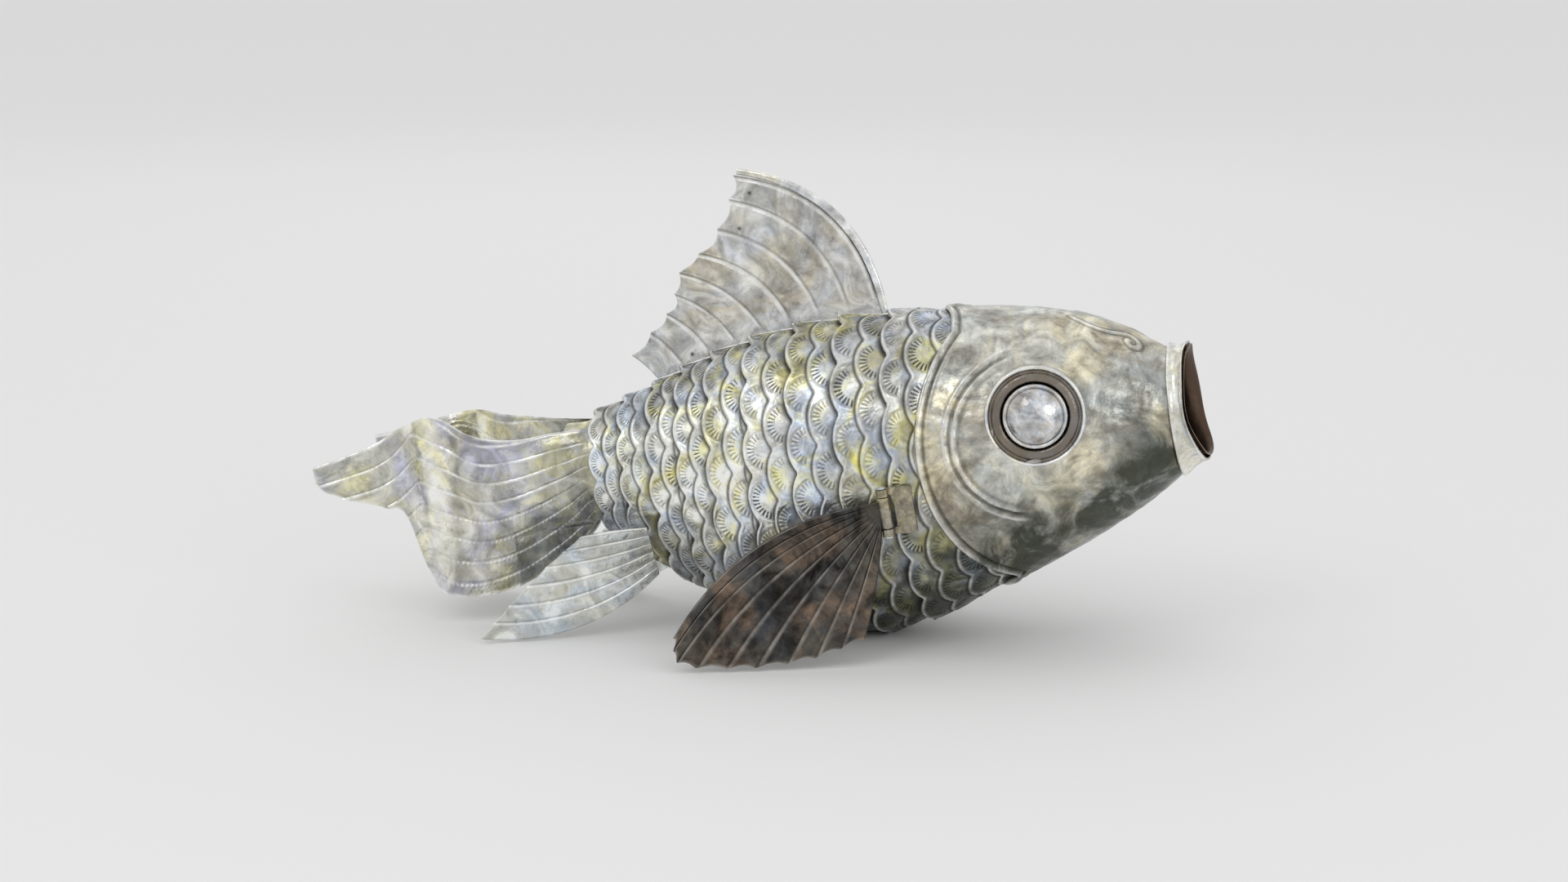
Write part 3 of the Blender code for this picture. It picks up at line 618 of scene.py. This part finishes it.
def scale_relief(d, share, count, width, pitch, rows, key):
    """Height, recess and crest of rows of chased scales; d runs forward from the rear edge."""
    shape = np.broadcast(d, share).shape
    height, recess, crest = np.zeros(shape), np.zeros(shape), np.zeros(shape)
    covered = np.zeros(shape, dtype=bool)
    for row in reversed(range(rows)):
        phase = share * count + (0.5 if row % 2 else 0.0)
        across = off_centre(phase, width)
        ahead = d - row * pitch
        reach = ahead - lobe_edge(across, width)
        mine = (reach > 0) & ~covered
        chance = scatter(np.round(phase) % count, row + 1.0, key)
        layer, dark, bright = one_scale(reach, ahead, across, width, chance)
        layer = layer * (1 if row == 0 else INNER_ROW) + LAYER_STEP * (0.5 - np.clip(reach / pitch, 0, 1.4))
        height = np.where(mine, layer, height)
        recess = np.where(mine, dark, recess)
        crest = np.where(mine, bright, crest)
        covered = covered | mine
    # Painted shade in the crease just behind the scalloped edge of each inner row
    for row in range(1, rows):
        phase = share * count + (0.5 if row % 2 else 0.0)
        across = off_centre(phase, width)
        reach = d - row * pitch - lobe_edge(across, width)
        recess = np.maximum(recess, 0.85 * bump(reach, -0.5, 0.75) * (reach < 0.2))
    return height, recess, crest


def lap_shadow(s, front, share, count, width):
    """Dark line just behind the scalloped edge that overlaps the front of a ring."""
    across = off_centre(share * count, width)
    behind = front + lobe_edge(across, width) - s
    return np.where(behind > 0, np.exp(-(behind / LAP_SHADOW)**2), 1.0)


def ring_piece(name, rear, front, band, scale_count, mat, lowest, lift, collared, front_count=None):
    """A lapped ring: scalloped rear edge, rows of scales, and the plain part that goes under."""
    section = sizes(rear + band / 2)
    _angle, _share, around = even_angles(section, 8)
    count = scale_count * int(around / GRID / scale_count)
    angle, share, around = even_angles(section, count)
    width = around / scale_count
    pitch = band / 2
    front = front(angle)
    visible = (front - rear)[:, None]
    rows = int(np.ceil((np.max(visible) + 1) / pitch))
    tip = lobe_edge(off_centre(share * scale_count, width), width)
    end = front + (COLLAR if collared else NAPE_LAP)
    steps = int((np.max(end) - rear) / GRID)
    t = np.linspace(0, 1, steps)
    start = rear + tip
    s = start[:, None] + (end - start)[:, None] * t[None, :]
    d = s - rear
    height, recess, crest = scale_relief(d, share[:, None], scale_count, width, pitch, rows, rear)
    fade = 1 - smooth(visible + 0.5, visible + 3.0, d)
    section = sizes(np.minimum(s, front[:, None]) if collared else s)
    outline = angle[:, None]
    offset = lift(d, visible)
    relief = RELIEF * (height - RELIEF_MIDDLE) * fade
    outer = oval(s, section, outline, offset + relief)
    outer = keep_above(outer, lowest)
    pick = np.array([0, steps // 4, steps // 2, 3 * steps // 4, steps - 1])
    under = np.minimum(offset + relief, offset)[:, pick] - SHEET
    inner = oval(s[:, pick], tuple(part[:, pick] for part in section), outline, under)
    inner = keep_above(inner, lowest + SHEET)
    # Painted shade where the piece goes under the one in front: a shadow line behind the front ring's
    # scalloped edge, or on the nape its covered part darkened
    if front_count:
        hidden = lap_shadow(s, front[:, None], share[:, None], front_count, around / front_count)
    else:
        hidden = smooth(visible - 1.0, visible + 1.5, d)
    recess = np.maximum(recess * fade, hidden * 0.95)
    crest = crest * fade * (1 - hidden)
    return solid_sheet(name, outer, inner, True, recess, crest, mat)


def ring_lift(d, visible):
    """Sinks towards the front of a ring, so that its rear edge stands over the next ring."""
    return -STEP * np.clip(d / visible, 0, 1)


def nape_lift(d, visible):
    """Level over the first ring's collar, then sunk under the head mask."""
    part = d / (visible + NAPE_LAP)
    return -(WALL + NAPE_PLAY) * np.clip((part - NAPE_LEVEL) / (NAPE_SUNK - NAPE_LEVEL), 0, 1)


def make_rings(mats):
    bodies = ("shoulder_ring", "belly_ring", "ring_3", "ring_4", "ring_5", "ring_6", "ring_7", "ring_8")
    for index, body in enumerate(bodies):
        node_name = "body_ring_%d" % (index + 1)
        rear, front = EDGES[index + 1], EDGES[index]
        ring = ring_piece("ring_%d_skin" % (index + 1), rear, lambda angle: np.full_like(angle, front),
                          front - rear, SCALE_COUNTS[index], mats["scales"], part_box(node_name)[0][2] / MM,
                          ring_lift, True, ([NAPE_SCALES] + list(SCALE_COUNTS))[index])
        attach(ring, body)
        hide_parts(node_name)


def gill_edge(angle):
    """Station of the gill-cover edge at an angle round the body; a point runs back over the crown."""
    s = np.full_like(angle, GILL_CENTRE[0] - GILL_REACH)
    for _ in range(GILL_PASSES):
        top, bottom, _half = sizes(s)
        height = (top + bottom) / 2 + (top - bottom) / 2 * np.cos(angle)
        share = np.minimum(np.abs(height - GILL_CENTRE[1]) / GILL_HEIGHT, 1.0)
        s = GILL_CENTRE[0] - GILL_REACH * np.sqrt(1 - share * share)
    return s - CROWN_REACH * np.maximum(1 - from_top(angle) / CROWN_ANGLE, 0)


def make_nape(mats):
    nape = ring_piece("nape_skin", EDGES[0], gill_edge, EDGES[0] - EDGES[1], NAPE_SCALES,
                      mats["scales"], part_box("nape_collar")[0][2] / MM, nape_lift, False)
    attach(nape, "head")
    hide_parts("nape_collar")


# ---- head

def eye_frame(sign):
    """Matrix of an eye, Z out of the head."""
    s, height = EYE_CENTRE
    top, bottom, half = sizes(s)
    rise = (height - (top + bottom) / 2) / ((top - bottom) / 2)
    out = np.array([EYE_AXIS[0], sign * EYE_AXIS[1], EYE_AXIS[2]])
    out = out / np.linalg.norm(out)
    along = np.cross([0, 0, 1], out)
    along = along / np.linalg.norm(along)
    up = np.cross(out, along)
    to_world = np.stack([S_AXIS, Y_AXIS, H_AXIS], axis=1)
    matrix = Matrix.Identity(4)
    columns = [to_world @ along, to_world @ up, to_world @ out,
               place(s, sign * half * math.sqrt(1 - rise * rise), height)]
    for column, vector in enumerate(columns):
        for row in range(3):
            matrix[row][column] = float(vector[row])
    return matrix


def near_line(s, arc, points, width):
    """Closeness, 0 to 1, to a line of (s, arc) points on the head, and the distance from it."""
    best = np.full(np.broadcast(s, arc).shape, 1e9)
    for (s0, a0), (s1, a1) in zip(points, points[1:]):
        along = ((s - s0) * (s1 - s0) + (arc - a0) * (a1 - a0)) / ((s1 - s0)**2 + (a1 - a0)**2)
        along = np.clip(along, 0, 1)
        best = np.minimum(best, np.hypot(s - s0 - along * (s1 - s0), arc - a0 - along * (a1 - a0)))
    return np.exp(-(best / width)**2), best


def nostril_line():
    """Snout scroll: a long S that ends in a comma curl, as (s, arc from the top) points."""
    points = [(SCROLL_REAR + SCROLL_LENGTH * t, SCROLL_ARC + SCROLL_SWAY * math.sin(t * math.pi))
              for t in np.linspace(0, 1, 9)]
    for turn in np.linspace(0, CURL_TURN * math.pi, 14):
        reach = CURL_REACH * (1 - turn / (CURL_END * math.pi))
        points.append((CURL_CENTRE[0] + reach * math.sin(turn), CURL_CENTRE[1] - reach * math.cos(turn)))
    return points


def head_relief(s, angle, gill):
    """Height, recess and crest of the chased head."""
    top, bottom, half = sizes(s)
    h = (top + bottom) / 2 + (top - bottom) / 2 * np.cos(angle)
    behind = s - gill
    height = 1.0 * bump(behind, 1.3, 1.2) - 0.55 * bump(behind, 3.6, 0.8) + 0.35 * bump(behind, 5.2, 0.7)
    recess = 0.75 * bump(behind, 3.6, 0.7)
    crest = bump(behind, 1.3, 0.8)
    ds = s - CHEEK_CENTRE[0]
    dh = h - CHEEK_CENTRE[1]
    ring = np.hypot(ds, dh)
    window = 1 - smooth(-12, -4, ds)
    window = window * (np.abs(np.sin(angle)) > 0.3)
    for radius, lift in ((CHEEK_RADIUS + 2.5, 0.55), (CHEEK_RADIUS - 1.5, 0.8)):
        height = height + window * lift * bump(ring, radius, 0.95)
        crest = np.maximum(crest, 0.9 * window * bump(ring, radius, 0.6))
    height = height - window * 0.45 * bump(ring, CHEEK_RADIUS + 0.5, 0.7)
    recess = np.maximum(recess, 0.7 * window * bump(ring, CHEEK_RADIUS + 0.5, 0.6))
    recess = np.maximum(recess, 0.45 * window * bump(ring, CHEEK_RADIUS - 3.6, 0.8))
    arc = from_top(angle) * half
    scroll, gap = near_line(s, arc, nostril_line(), 0.75)
    height = height + 0.6 * scroll
    crest = np.maximum(crest, 0.8 * scroll)
    recess = np.maximum(recess, 0.7 * bump(gap, 1.5, 0.5))
    dents = (np.sin(s * 0.31 + 2 * np.sin(h * 0.13)) * np.sin(h * 0.27 + 1.7 * np.sin(s * 0.11))
             + 0.5 * np.sin(s * 0.83 + h * 0.5) * np.sin(h * 0.77 - s * 0.35))
    height = height + DENTS * dents * smooth(4, 10, behind)
    return height, recess, crest


def make_head(mats):
    angle, _share, _around = even_angles(sizes(GILL_CENTRE[0]), HEAD_COLUMNS)
    gill = gill_edge(angle)
    t = np.linspace(0, 1, HEAD_STATIONS)
    s = gill[:, None] + (HEAD_FRONT - gill)[:, None] * t[None, :]
    a = angle[:, None]
    height, recess, crest = head_relief(s, a, gill[:, None])
    edge = smooth(0, 1.2, s - gill[:, None])
    outer = oval(s, sizes(s), a, height - 0.5 * (1 - edge))
    pick = np.array(HEAD_INNER)
    inner = oval(s[:, pick], sizes(s[:, pick]), a, -WALL)
    eyes = [np.array(eye_frame(sign).inverted()) for sign in (-1, 1)]

    def outside_eyes(centres):
        clear = np.ones(len(centres), dtype=bool)
        for matrix in eyes:
            local = centres @ matrix[:3, :3].T + matrix[:3, 3]
            clear &= ~((np.hypot(local[:, 0], local[:, 1]) < EYE_HOLE * MM) & (local[:, 2] > -0.02))
        return clear

    head = solid_sheet("head_skin", outer, inner, True, recess, crest, mats["head"], outside_eyes)
    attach(head, "head")
    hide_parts("head_mask")


def lathe(name, profile, matrix, sides, mat, recess, crest, bridged):
    """Turned piece from a (radius, height) profile in millimetres; bridged joins its two ends."""
    angle = np.linspace(0, 2 * np.pi, sides, endpoint=False)
    radius = np.array([p[0] for p in profile])
    height = np.array([p[1] for p in profile])
    local = np.stack([np.cos(angle)[:, None] * radius * MM, np.sin(angle)[:, None] * radius * MM,
                      np.broadcast_to(height * MM, (sides, len(profile)))], axis=-1)
    world = local @ np.array(matrix)[:3, :3].T + np.array(matrix)[:3, 3]
    columns = len(profile)
    faces = quads(sides, columns, 0, True)
    attributes = {"recess": np.tile(recess, sides), "crest": np.tile(crest, sides),
                  "inside": np.zeros(sides * columns)}
    return make_mesh(name, world.reshape(-1, 3), faces, attributes, mat, bridged)


def dense(points, per):
    """A smooth run of points through a given profile."""
    points = np.array(points, dtype=float)
    spot = np.arange(len(points))
    fine = np.linspace(0, len(points) - 1, (len(points) - 1) * per + 1)
    return np.stack([curve(list(zip(spot, points[:, k])), fine) for k in (0, 1)], axis=1)


def make_eyes(mats):
    rim = dense(EYE_RIM, 5)
    dome = dense(EYE_BALL, 5)
    rim_recess = 0.95 * smooth(19.5, 18.6, rim[:, 0]) * (rim[:, 1] > -6)
    rim_crest = bump(rim[:, 0], 20.1, 0.7) * (rim[:, 1] > -1)
    # Dark groove round the dome; its skirt under the bezel painted dark as shade
    dome_recess = 0.8 * bump(dome[:, 0], 11.6, 0.35) + 0.9 * (dome[:, 1] < -0.5)
    dome_crest = bump(dome[:, 0], 12.7, 0.5) * (dome[:, 1] > 0)
    for side, sign in (("right", -1), ("left", 1)):
        bezel = lathe("eye_rim_" + side, rim, eye_frame(sign), EYE_SIDES, mats["rim"], rim_recess, rim_crest,
                      True)
        ball = lathe("eye_ball_" + side, dome, eye_frame(sign), EYE_SIDES, mats["eye"], dome_recess,
                     dome_crest, False)
        for piece, cad, slot in ((bezel, "eye_bezel_", "eye_bezel"), (ball, "eye_dome_", "eye_dome")):
            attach(piece, "head")
            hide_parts(cad + side)


def lip_grid(stations, offsets):
    """World points of a mouth band; the band leans so that its chin side stands forward."""
    angle, _share, _around = even_angles(sizes(260.0), LIP_COLUMNS)
    s = np.array(stations)[None, :]
    section = sizes(s)
    height = np.cos(angle)[:, None] * (section[0] - section[1]) / 2
    slant = (s - LIP_REAR) / (LIP_FRONT - LIP_REAR)
    wave = LIP_WAVE * np.sin(angle * LIP_WAVES + 0.7)[:, None] * np.clip(slant, 0, 1)
    back = LIP_SLANT * height + LIP_CORNERS * np.sin(angle)[:, None]**2
    return oval(s - back * slant + wave, section, angle[:, None], np.array(offsets)[None, :])


def make_mouth(mats):
    profile = dense(LIP_PROFILE, 5)
    outer = lip_grid(profile[:, 0], profile[:, 1])
    inner = lip_grid(profile[:, 0], profile[:, 1] - np.linspace(0.7, 1.1, len(profile)))
    recess = np.broadcast_to(0.6 * bump(profile[:, 0], LIP_REAR, 0.5), outer.shape[:2])
    crest = np.broadcast_to(smooth(263.2, 264.6, profile[:, 0]) + 0.5 * bump(profile[:, 0], 256.7, 0.7),
                            outer.shape[:2])
    lip = solid_sheet("mouth_band", outer, inner, True, recess, crest, mats["rim"])
    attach(lip, "head")
    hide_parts("mouth_lip")
    profile = dense(LINER_PROFILE, 5)
    outer = lip_grid(profile[:, 0], profile[:, 1])
    inner = lip_grid(profile[:, 0], profile[:, 1] - 0.8)
    flat = np.zeros(outer.shape[:2])
    liner = solid_sheet("mouth_lining", outer, inner, True, flat, flat, mats["copper"])
    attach(liner, "head")
    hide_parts("mouth_liner")


# ---- fins

def fan(root, edge, bulge, rays, steps, scallop, scallops):
    """(s, h, v, t) of a fin: rays v from the root to the edge, t along each ray."""
    v = np.linspace(0, 1, rays)[:, None]
    t = np.linspace(0, 1, steps)[None, :]
    start_s, start_h = root(v)
    end_s, end_h = curve(edge[0], v), curve(edge[1], v)
    ds, dh = end_s - start_s, end_h - start_h
    size = np.hypot(ds, dh)
    bite = scallop * np.sin(np.pi * ((v * scallops) % 1.0))
    reach = 1 - bite / size
    bend = bulge[0] + (bulge[1] - bulge[0]) * v
    control_s = (start_s + end_s) / 2 + bend * dh
    control_h = (start_h + end_h) / 2 - bend * ds
    t = t * reach
    s = (1 - t)**2 * start_s + 2 * t * (1 - t) * control_s + t * t * end_s
    h = (1 - t)**2 * start_h + 2 * t * (1 - t) * control_h + t * t * end_h
    return s, h, np.broadcast_to(v, s.shape), t


def ray_relief(v, t, rays, depth, width, beads=0.0):
    """Chased rays: a fine groove beside a bright raised line, beaded on the lower ones if asked."""
    phase = (v * rays) % 1.0
    gap = np.minimum(phase, 1 - phase)
    start = smooth(*RAY_START, t)
    line = bump(gap, 0.0, width * 0.8) * start
    side = bump(phase, width * 2.2, width * 1.2) * start
    if beads:
        beaded = smooth(*BEADED_FROM, v)
        side = side * (1 - beaded + beaded * (0.45 + 0.55 * np.cos(t * beads)))
    height = depth * side - depth * 0.8 * line + 0.25 * np.sin(np.pi * phase)
    return height, GROOVE_DARK * line, np.clip(1.25 * side, 0, 1)


def both_faces(values):
    """One value for each vertex of a sheet's grid, for its outer and its inner face."""
    return np.tile(np.asarray(values, dtype=np.float32).ravel(), 2)


def fin_piece(name, s, h, lateral, sheet, sign, relief, mat, bead):
    """A fin sheet with its chasing on both faces."""
    height, recess, crest = relief
    height = height + 0.35 * bead
    crest = np.maximum(crest, bead)
    half = sheet / 2
    outer = place(s, sign * (lateral + half + height * 0.6), h)
    inner = place(s, sign * (lateral - half + height * 0.6), h)
    piece = solid_sheet(name, outer, inner, False, recess, crest, mat)
    plain = 0 * recess
    values = {"recess": recess, "crest": crest, "inside": plain, "painted_shade": plain, "painted_sheen": plain}
    for key, value in values.items():
        piece.data.attributes[key].data.foreach_set("value", both_faces(value))
    return piece


def edge_bead(t):
    """Closeness, 0 to 1, to the free edge of a fin, from the shares t along its rays."""
    return smooth(EDGE_BEAD, 1.0, t / np.max(t, axis=1, keepdims=True))


def ring_surface(s):
    """Height of the flared ring surfaces along the back, above the plain body line."""
    lift = np.zeros_like(s)
    for front, rear in zip(EDGES, EDGES[1:]):
        here = (s > rear - DORSAL_EASE) & (s <= front - DORSAL_EASE)
        lift = np.where(here, -STEP * np.clip((s - rear) / (front - rear), 0, 1), lift)
    return lift


def dorsal_root(v):
    s = DORSAL_FRONT + (DORSAL_REAR - DORSAL_FRONT) * v
    return s, curve(BACK, s) + ring_surface(s) + DORSAL_HOVER


def make_dorsal(mats):
    s, h, v, t = fan(dorsal_root, DORSAL_EDGE, DORSAL_BULGE, 420, 150, 1.8, DORSAL_RAYS)
    height, recess, crest = ray_relief(v, t, DORSAL_RAYS, 0.5, 0.05)
    for spot_s, spot_h in DORSAL_PUNCHES:
        pit = bump(np.hypot(s - spot_s, h - spot_h), 0, 0.9)
        height = height - 0.6 * pit
        recess = np.maximum(recess, pit)
    waves = 0.5 * np.sin(h * 0.16 + s * 0.09) * smooth(0.1, 0.5, t)
    blade = fin_piece("dorsal_sheet", s, h, waves * 0.6, DORSAL_SHEET - 0.6, 1, (height, recess, crest),
                      mats["dorsal"], edge_bead(t) * 0.6)
    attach(blade, "belly_ring")
    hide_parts("dorsal_fin_blade")
    make_spine(mats, s[0], h[0])


def make_spine(mats, s, h):
    """Rolled double bead down the leading edge."""
    points = np.stack([s, h], axis=1)[::3]
    along = np.gradient(points, axis=0)
    along = along / np.linalg.norm(along, axis=1, keepdims=True)
    across = np.stack([along[:, 1], -along[:, 0]], axis=1)
    around = np.linspace(0, 2 * np.pi, 28, endpoint=False)
    profile = 1.5 + 0.35 * np.cos(around * 2)
    taper = (0.75 + 0.3 * np.sin(np.linspace(0.15, 1, len(points)) * np.pi))[None, :]
    centre = points + across * 1.9
    reach = profile[:, None] * taper * np.cos(around)[:, None]
    side = profile[:, None] * taper * np.sin(around)[:, None] * 1.15
    pos = place(centre[:, 0] + across[:, 0] * reach, side, centre[:, 1] + across[:, 1] * reach)
    crest = np.broadcast_to(np.clip(np.cos(around) - 0.3, 0, 1)[:, None], pos.shape[:2])
    rows, columns = pos.shape[:2]
    faces = quads(rows, columns, 0, True)
    flat = np.zeros(rows * columns)
    attributes = {"recess": flat, "crest": crest.ravel() * 0.7, "inside": flat}
    spine = make_mesh("dorsal_bead", pos.reshape(-1, 3), faces, attributes, mats["rim"])
    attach(spine, "belly_ring")
    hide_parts("dorsal_fin_spine")


def straight_root(first, last):
    """Root line of a paired fin, from its first ray to its last."""
    def root(v):
        return first[0] + (last[0] - first[0]) * v, first[1] + (last[1] - first[1]) * v
    return root


def pectoral_lateral(s, h):
    """Distance of a pectoral fin from the middle plane: swept out behind its hinge and cupped."""
    return HINGE_AT[1] + PECTORAL_SWEEP * (HINGE_AT[0] - s) + PECTORAL_CUP * (h - HINGE_AT[2]) ** 2


def pelvic_lateral(s, h):
    """Distance of a pelvic fin from the middle plane: flared behind its root and leaning in below."""
    root_s, root_h = PELVIC_ROOT[0]
    return PELVIC_SIDE + PELVIC_FLARE * (root_s - s) + PELVIC_LEAN * (h - root_h)


def make_paired_fins(mats):
    for side, sign in (("right", -1), ("left", 1)):
        s, h, v, t = fan(straight_root(*PECTORAL_ROOT), PECTORAL_EDGE, PECTORAL_BULGE, 300, 170, 1.6,
                         PECTORAL_RAYS)
        relief = ray_relief(v, t, PECTORAL_RAYS, 0.5, 0.06)
        blade = fin_piece("pectoral_sheet_" + side, s, h, pectoral_lateral(s, h), FIN_SHEET - 0.2, sign,
                          relief, mats["dark_fin"], edge_bead(t))
        knuckle = make_knuckle(side, sign, mats["hinge"])
        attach(blade, "pectoral_" + side)
        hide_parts("pectoral_fin_" + side)
        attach(knuckle, "pectoral_" + side)
        s, h, v, t = fan(straight_root(*PELVIC_ROOT), PELVIC_EDGE, PELVIC_BULGE, 220, 150, 0.5,
                         PELVIC_RAYS)
        relief = ray_relief(v, t, PELVIC_RAYS, 0.45, 0.06)
        blade = fin_piece("pelvic_sheet_" + side, s, h, pelvic_lateral(s, h), FIN_SHEET - 0.2, sign, relief,
                          mats["fin"], edge_bead(t))
        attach(blade, "ring_7")
        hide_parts("pelvic_fin_" + side)


def make_knuckle(side, sign, mat):
    """Rolled knuckle of a pectoral fin, round its pin."""
    joint = JOINTS["pectoral_%s_swing" % side]
    axis = Vector(joint["axis"]) * (1 if sign < 0 else -1)
    turn = Vector((0, 0, 1)).rotation_difference(axis).to_matrix().to_4x4()
    matrix = Matrix.Translation(Vector(joint["pos_m"])) @ turn
    profile = dense(KNUCKLE, 4)
    recess = np.zeros(len(profile))
    return lathe("pectoral_knuckle_" + side, profile, matrix, 48, mat, recess, recess, True)


def tail_lateral(s, h):
    """Distance of a tail sheet from the middle plane: wrapped on the root, flat and waved behind."""
    rear = np.minimum(s, EDGES[-1])
    top, bottom = curve(BACK, rear), curve(BELLY, rear)
    reach = (h - (top + bottom) / 2) / ((top - bottom) / 2 - 2.5)
    wrapped = np.sqrt(np.maximum(1 - reach * reach, 0.02))
    flat = np.clip((8.5 - s) / 42.5, 0, 1)
    return curve(TAIL_SPREAD, s) * (wrapped + (1 - wrapped) * flat)


def tail_grid(top_line):
    """Stations, heights, shares across, chasing with painted reflection bands, and edge bead of a tail sheet
    under a top line.
    """
    s = np.concatenate([np.linspace(8.3, -70, 150), np.linspace(-70.5, -82, 60),
                        np.linspace(-82.6, -113.8, 70)])[:, None]
    across = np.linspace(0, 1, 150)[None, :]
    top = curve(top_line, s)
    bottom = curve(TAIL_BOTTOM, s)
    h = top + (bottom - top) * across
    s = np.broadcast_to(s, h.shape)
    sway = RAY_RISE * bump(s, -70, 9) - RAY_DIP * bump(s, -48, 17)
    v = (top - h + sway) / (top - curve(TAIL_ENVELOPE, s))
    beads = 2 * np.pi * TAIL_LENGTH / BEAD_SPACING
    along = (TAIL_FRONT - s) / TAIL_LENGTH
    height, recess, crest = ray_relief(np.clip(v, 0, 1), along, TAIL_RAYS, 0.4, 0.05, beads)
    # Painted reflection on the wave of the sheet: bright bands across its crest, dark bands beside them
    lean = s - 0.12 * h
    crest = np.maximum(crest, 0.55 * bump(lean, -63, 3.5) + 0.4 * bump(lean, -75, 3.0))
    recess = np.maximum(0.6 * recess, 0.36 * bump(lean, -54, 3.0) + 0.25 * bump(s, -68, 1.8))
    rim = np.minimum(np.minimum(h - bottom, top - h), TAIL_REAR + s)
    return s, h, across, (height, recess, crest), bump(rim, 0.0, 0.9) * (s < 0)


def make_tail(mats):
    """The two tail sheets, with painted shade towards the root and a painted sheen on the crest."""
    for side, sign, top_line in (("right", -1, TAIL_TOP), ("left", 1, FAR_TAIL_TOP)):
        s, h, across, relief, bead = tail_grid(top_line)
        lobe = fin_piece("tail_sheet_" + side, s, h, tail_lateral(s, h), FIN_SHEET - 0.2, sign, relief,
                         mats["tail"], bead)
        # Painted shade towards the root, heavier on the lower half; painted sheen on the wave crest
        shade = 0.42 * smooth(-40, 6, s) + 0.34 * smooth(-60, -20, s) * smooth(0.5, 1.0, across)
        lobe.data.attributes["painted_shade"].data.foreach_set("value", both_faces(shade))
        lobe.data.attributes["painted_sheen"].data.foreach_set("value", both_faces(0.6 * bump(s, -64, 14)))
        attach(lobe, "tail")
        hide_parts("tail_lobe_" + side)


# ---- carried-over CAD pieces

def finish_small_parts(mats):
    for name, obj in frame["nodes"].items():
        if "rivet" in name or name.startswith("pectoral_pin"):
            chosen = mats["rim"]
        elif name.startswith("pectoral_bracket"):
            chosen = mats["hinge"]
        elif name == "tail_root_collar":
            chosen = mats["tail"]
        else:
            continue
        for spot in obj.material_slots:
            spot.material = chosen


# ---- studio

def backdrop_material():
    mat = bpy.data.materials.new("studio_grey")
    mat.use_nodes = True
    shader = mat.node_tree.nodes["Principled BSDF"]
    shader.inputs["Base Color"].default_value = BACKDROP
    shader.inputs["Roughness"].default_value = 0.9
    return mat


def make_studio():
    bpy.ops.mesh.primitive_plane_add(size=FLOOR_SIZE, location=(0, 0, 0))
    floor = bpy.context.object
    floor.name = "studio_floor"
    floor.data.materials.append(backdrop_material())
    world = bpy.data.worlds.new("studio_world")
    bpy.context.scene.world = world
    world.use_nodes = True
    background = world.node_tree.nodes["Background"]
    background.inputs["Color"].default_value = AMBIENT
    background.inputs["Strength"].default_value = AMBIENT_STRENGTH
    bpy.context.scene.view_settings.view_transform = "Standard"
    for name, place_at, size, power in LIGHTS:
        light = bpy.data.lights.new(name, "AREA")
        light.size = size
        light.energy = power
        lamp = bpy.data.objects.new(name, light)
        bpy.context.scene.collection.objects.link(lamp)
        lamp.location = place_at
        aim = Vector((0, 0, 0.08)) - Vector(place_at)
        lamp.rotation_euler = aim.to_track_quat("-Z", "Y").to_euler()


def make_camera():
    azimuth, elevation = math.radians(CAMERA_AZIMUTH), math.radians(CAMERA_ELEVATION)
    back = Vector((math.sin(azimuth) * math.cos(elevation), -math.cos(azimuth) * math.cos(elevation),
                   math.sin(elevation)))
    data = bpy.data.cameras.new("camera")
    data.lens = LENS
    data.sensor_width = 36
    data.clip_start = 0.01
    camera = bpy.data.objects.new("camera", data)
    bpy.context.scene.collection.objects.link(camera)
    camera.location = Vector(CAMERA_TARGET) + back * CAMERA_DISTANCE
    camera.rotation_euler = (-back).to_track_quat("-Z", "Y").to_euler()
    bpy.context.scene.camera = camera


def main():
    make_camera()
    mats = make_materials()
    make_rings(mats)
    make_nape(mats)
    make_head(mats)
    make_eyes(mats)
    make_mouth(mats)
    make_dorsal(mats)
    make_paired_fins(mats)
    make_tail(mats)
    finish_small_parts(mats)
    make_studio()


main()
